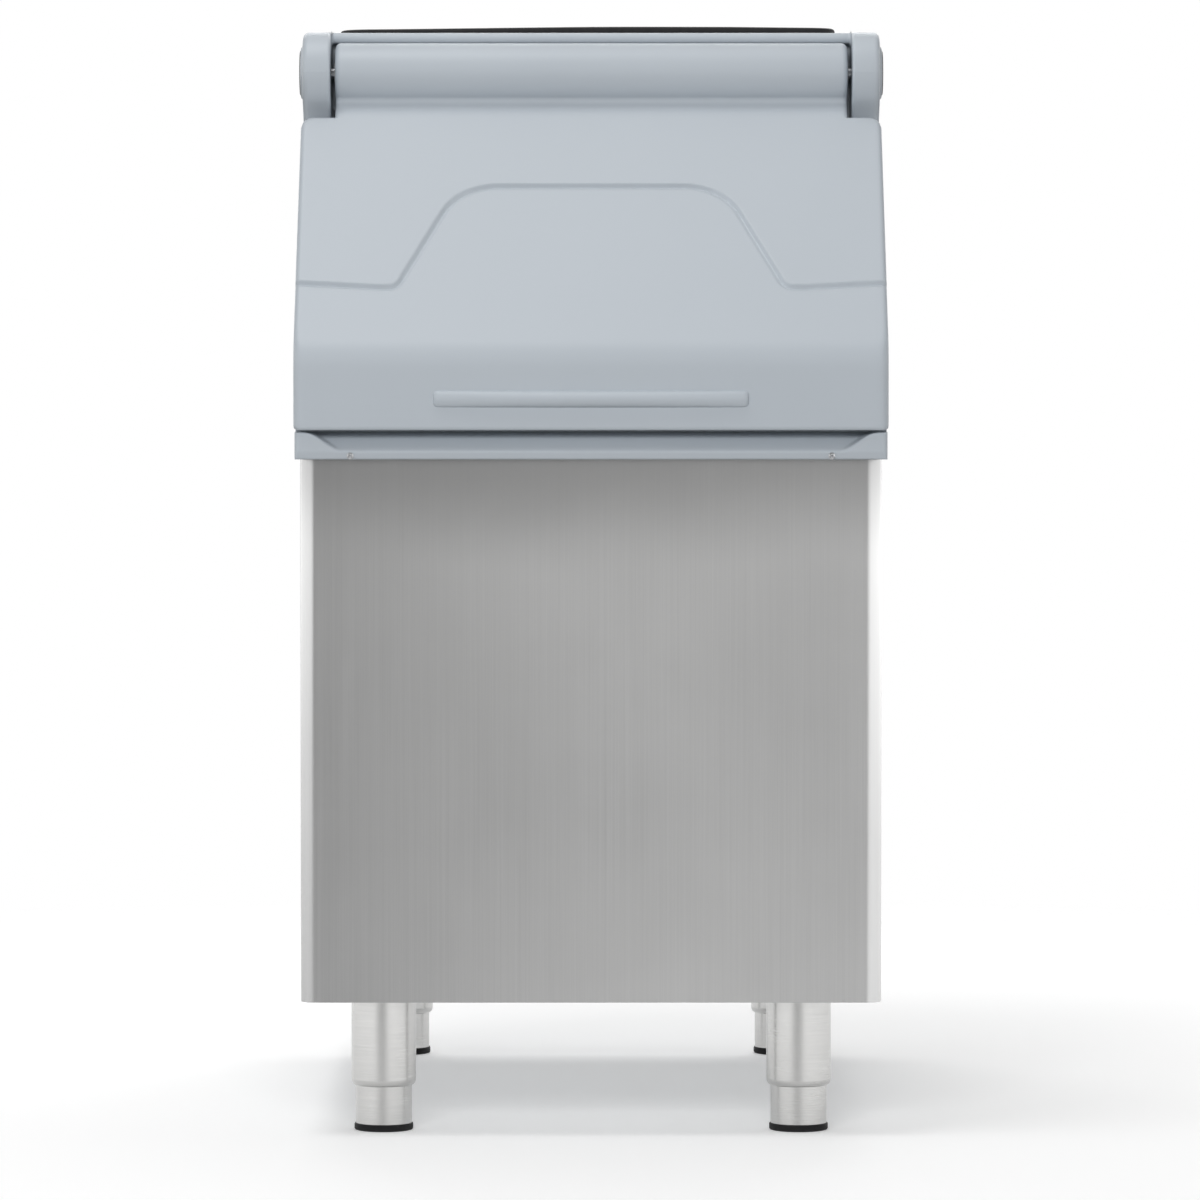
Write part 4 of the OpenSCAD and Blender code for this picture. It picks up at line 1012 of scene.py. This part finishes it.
piece_of(skin, "door_face", grey_plastic, "door", "door_outer_skin", corner=50)

barrel = bmesh.new()
one_end = [(0, -BARREL_HALF)]
for i in range(ARC_STEPS + 1):
    angle = pi / 2 * i / ARC_STEPS
    one_end.append((BARREL_R - BARREL_EDGE * (1 - sin(angle)),
                    BARREL_EDGE * (1 - cos(angle)) - BARREL_HALF))
other_end = [(radius, -height) for radius, height in reversed(one_end)]
turned_form(barrel, one_end + other_end, Matrix.Translation(AXIS) @ Matrix.Rotation(pi / 2, 4, "Y"),
            around=96)
piece_of(barrel, "door_barrel", grey_plastic, "door", corner=50)

rib = bmesh.new()
rings = []
for x in stations(-RIB_HALF, (RIB_TIP - RIB_HALF, 0.001), (RIB_HALF - RIB_TIP, 0.012),
                  (RIB_HALF, 0.001)):
    share = abs(x) / RIB_HALF
    stand = RIB_OUT - (RIB_OUT - RIB_END_OUT) * share ** 2
    tip = max(0, abs(x) - (RIB_HALF - RIB_TIP)) / RIB_TIP
    blunt = sqrt(max(1 - tip ** 2, 0.02))
    half = RIB_HEIGHT / 2 * (RIB_TIP_SHARE + (1 - RIB_TIP_SHARE) * blunt)
    ring = []
    for i in range(RIB_STEPS + 1):
        angle = pi * i / RIB_STEPS - pi / 2
        y = upright_y + RIB_ROOT - (stand * blunt + RIB_ROOT) * cos(angle)
        ring.append(rib.verts.new((x, y, skin_low.z + RIB_MIDDLE + half * sin(angle))))
    rings.append(ring)
close_rings(rib, rings)
for ring in (rings[0], rings[-1]):
    rib.faces.new(ring)
piece_of(rib, "finger_rib", grey_plastic, "door", corner=50)

# Inside of the door. A paler plastic tray closes the back, screwed to the outer skin over a
# filling of foam.
DOOR_SCREWS = 0.26325
TRAY_EDGE = 0.001

light_plastic = Finish("light_plastic", "light_plastic", (0.70, 0.72, 0.73), Roughness=0.4)
pores = light_plastic.noise(light_plastic.stretched(1000, 1000, 1000), detail=3)
haze = light_plastic.noise(light_plastic.stretched(6, 6, 6), detail=3)
light_plastic.vary("Base Color",
                   light_plastic.blend((0.66, 0.68, 0.69), (0.73, 0.745, 0.75), haze))
light_plastic.vary("Roughness", 0.36 + 0.1 * haze)
light_plastic.relief(pores, 0.00004)
rounded("door_tray", "door_inner_skin", light_plastic, "door", TRAY_EDGE,
        holes=(-DOOR_SCREWS, DOOR_SCREWS))
screws("door_screws_zinc", "door_screws", "door", -OUT, PAN_HEAD)

# Door gasket. A black rubber bulb seal lies in a ring on the tray and presses on the frame
# round the mouth. Its back is split by a shallow groove.
SEAL_WIDTH = 0.010
SEAL_CORNER = 0.019
SEAL_FOOT = 0.0012
SEAL_FLANGE = 0.0009
SEAL_LIP_INSET = 0.0007
SEAL_STEPS = 12
GROOVE_DEPTH = 0.0008
GROOVE_SHARE = 0.35

seal_points = [point - AXIS for point in solids_of("door_gasket")[0]]
t_span = [point.dot(DOWN) for point in seal_points]
o_span = [point.dot(OUT) for point in seal_points]
reach = max(point.x for point in seal_points) - SEAL_WIDTH / 2
thick = max(o_span) - min(o_span)


def bulb_section(point):
    """The seal's flat foot on the tray and its two rounded lips, facing the frame."""
    half = SEAL_WIDTH / 2
    foot = thick - SEAL_FOOT
    section = [(half, thick), (half, thick - SEAL_FLANGE), (half - SEAL_FOOT, foot)]
    for i in range(SEAL_STEPS + 1):
        angle = pi * i / SEAL_STEPS
        groove = GROOVE_DEPTH * max(0, 1 - abs(cos(angle)) / GROOVE_SHARE)
        section.append(((half - SEAL_LIP_INSET) * cos(angle), foot * (1 - sin(angle)) + groove))
    return section + [(-half + SEAL_FOOT, foot), (-half, thick - SEAL_FLANGE), (-half, thick)]


bulb = bmesh.new()
low = Vector((-reach, -max(t_span) + SEAL_WIDTH / 2))
high = Vector((reach, -min(t_span) - SEAL_WIDTH / 2))
slope_place = Matrix((Vector((1, 0, 0)), -DOWN, OUT)).transposed().to_4x4()
slope_place.translation = AXIS + OUT * min(o_span)
swept_ring(bulb, subdivided(round_path(low, high, SEAL_CORNER), 0.03), bulb_section, slope_place)
piece_of(bulb, "door_seal", rubber, "door", "door_gasket", corner=60)

# Studio. A pale floor fades out at its edge, and throws little light back up at the part. Wide
# soft lamps hang above, ahead and behind, and the walls glow at both sides of a white backdrop.
FLOOR_HALF = 2.4
FADE_START = 1.5

studio = Finish("studio_floor", None, (0.9, 0.9, 0.9), Roughness=0.9, Specular_IOR_Level=0.1,
                Emission_Color=(1, 1, 1, 1), Emission_Strength=0.30)
bounced = studio.node("ShaderNodeLightPath", output="Is Diffuse Ray")
studio.vary("Base Color", 0.9 - 0.72 * bounced)
away = studio.node("ShaderNodeVectorMath", {"operation": "LENGTH"}, {0: studio.place}, output="Value")
studio.vary("Alpha", 1 - studio.eased(away, FADE_START, FLOOR_HALF))
corners = [(x * FLOOR_HALF, y * FLOOR_HALF, 0) for x, y in ((-1, -1), (1, -1), (1, 1), (-1, 1))]
floor_mesh = bpy.data.meshes.new("studio_floor")
floor_mesh.from_pydata(corners, [], [(0, 1, 2, 3)])
floor_mesh.materials.append(studio.material)
studio_floor = bpy.data.objects.new("studio_floor", floor_mesh)
bpy.context.scene.collection.objects.link(studio_floor)

AMBIENT = 0.12
DIMMED = 0.42
AHEAD = 0.40
LEFT = 2.3
RIGHT = 2.35
DARK_MIDDLE = -0.08

world = bpy.data.worlds.new("studio")
bpy.context.scene.world = world
world.use_nodes = True
room = Nodes(world.node_tree)
way = room.node("ShaderNodeTexCoord", output="Generated")
sideways = room.along("X", way)
upward = room.along("Z", way)
horizon = (1 - room.eased(upward, 0.1, 0.45)) * room.eased(upward, -0.16, 0.02)
mirrored = room.node("ShaderNodeLightPath", output="Is Glossy Ray")
dimmed = DIMMED + (1 - DIMMED) * mirrored
walls = LEFT + (RIGHT - LEFT) * room.eased(sideways, -0.1, 0.1)
level = dimmed * (AHEAD + (walls - AHEAD) * room.eased((sideways - DARK_MIDDLE).size(), 0.06, 0.5))
seen = room.node("ShaderNodeLightPath", output="Is Camera Ray")
strength = seen + (1 - seen) * (AMBIENT + (level - AMBIENT) * horizon)
backdrop = world.node_tree.nodes["Background"]
backdrop.inputs["Color"].default_value = (1, 1, 1, 1)
world.node_tree.links.new(strength.socket, backdrop.inputs["Strength"])


def soft_light(name, place, target, width, height, power, mirrored=True):
    """A wide soft lamp aimed at a point, which the steel mirrors or not."""
    lamp = bpy.data.lights.new(name, "AREA")
    lamp.shape = "RECTANGLE"
    lamp.size = width
    lamp.size_y = height
    lamp.energy = power
    holder = bpy.data.objects.new(name, lamp)
    bpy.context.scene.collection.objects.link(holder)
    holder.location = place
    holder.rotation_euler = (Vector(target) - Vector(place)).to_track_quat("-Z", "Y").to_euler()
    holder.visible_camera = False
    holder.visible_glossy = mirrored


soft_light("key", (-0.9, -1.2, 4.2), (0, -0.3, 0.9), 1.5, 1.3, 38)
soft_light("fill", (-0.4, -4.6, 2.0), (0, -0.4, 0.7), 2.0, 1.0, 92, mirrored=False)
soft_light("overhead", (0, 0.2, 3.4), (0, 0, 0.8), 2.6, 2.0, 14)
soft_light("rear", (0, 2.7, 2.6), (0, 0.9, 0), 3.0, 1.4, 50)

LENS = 218.64
DISTANCE = 7.0
VIEW_HEIGHT = 0.814
VIEW_PITCH = 2.41
VIEW_ACROSS = 0.0086

lens = bpy.data.cameras.new("camera")
lens.sensor_width = 36
lens.lens = LENS
camera = bpy.data.objects.new("camera", lens)
bpy.context.scene.collection.objects.link(camera)
camera.location = (VIEW_ACROSS, front_low.y - DISTANCE, VIEW_HEIGHT)
camera.rotation_euler = (radians(90 - VIEW_PITCH), 0, 0)
bpy.context.scene.camera = camera
bpy.context.scene.view_settings.view_transform = "Standard"
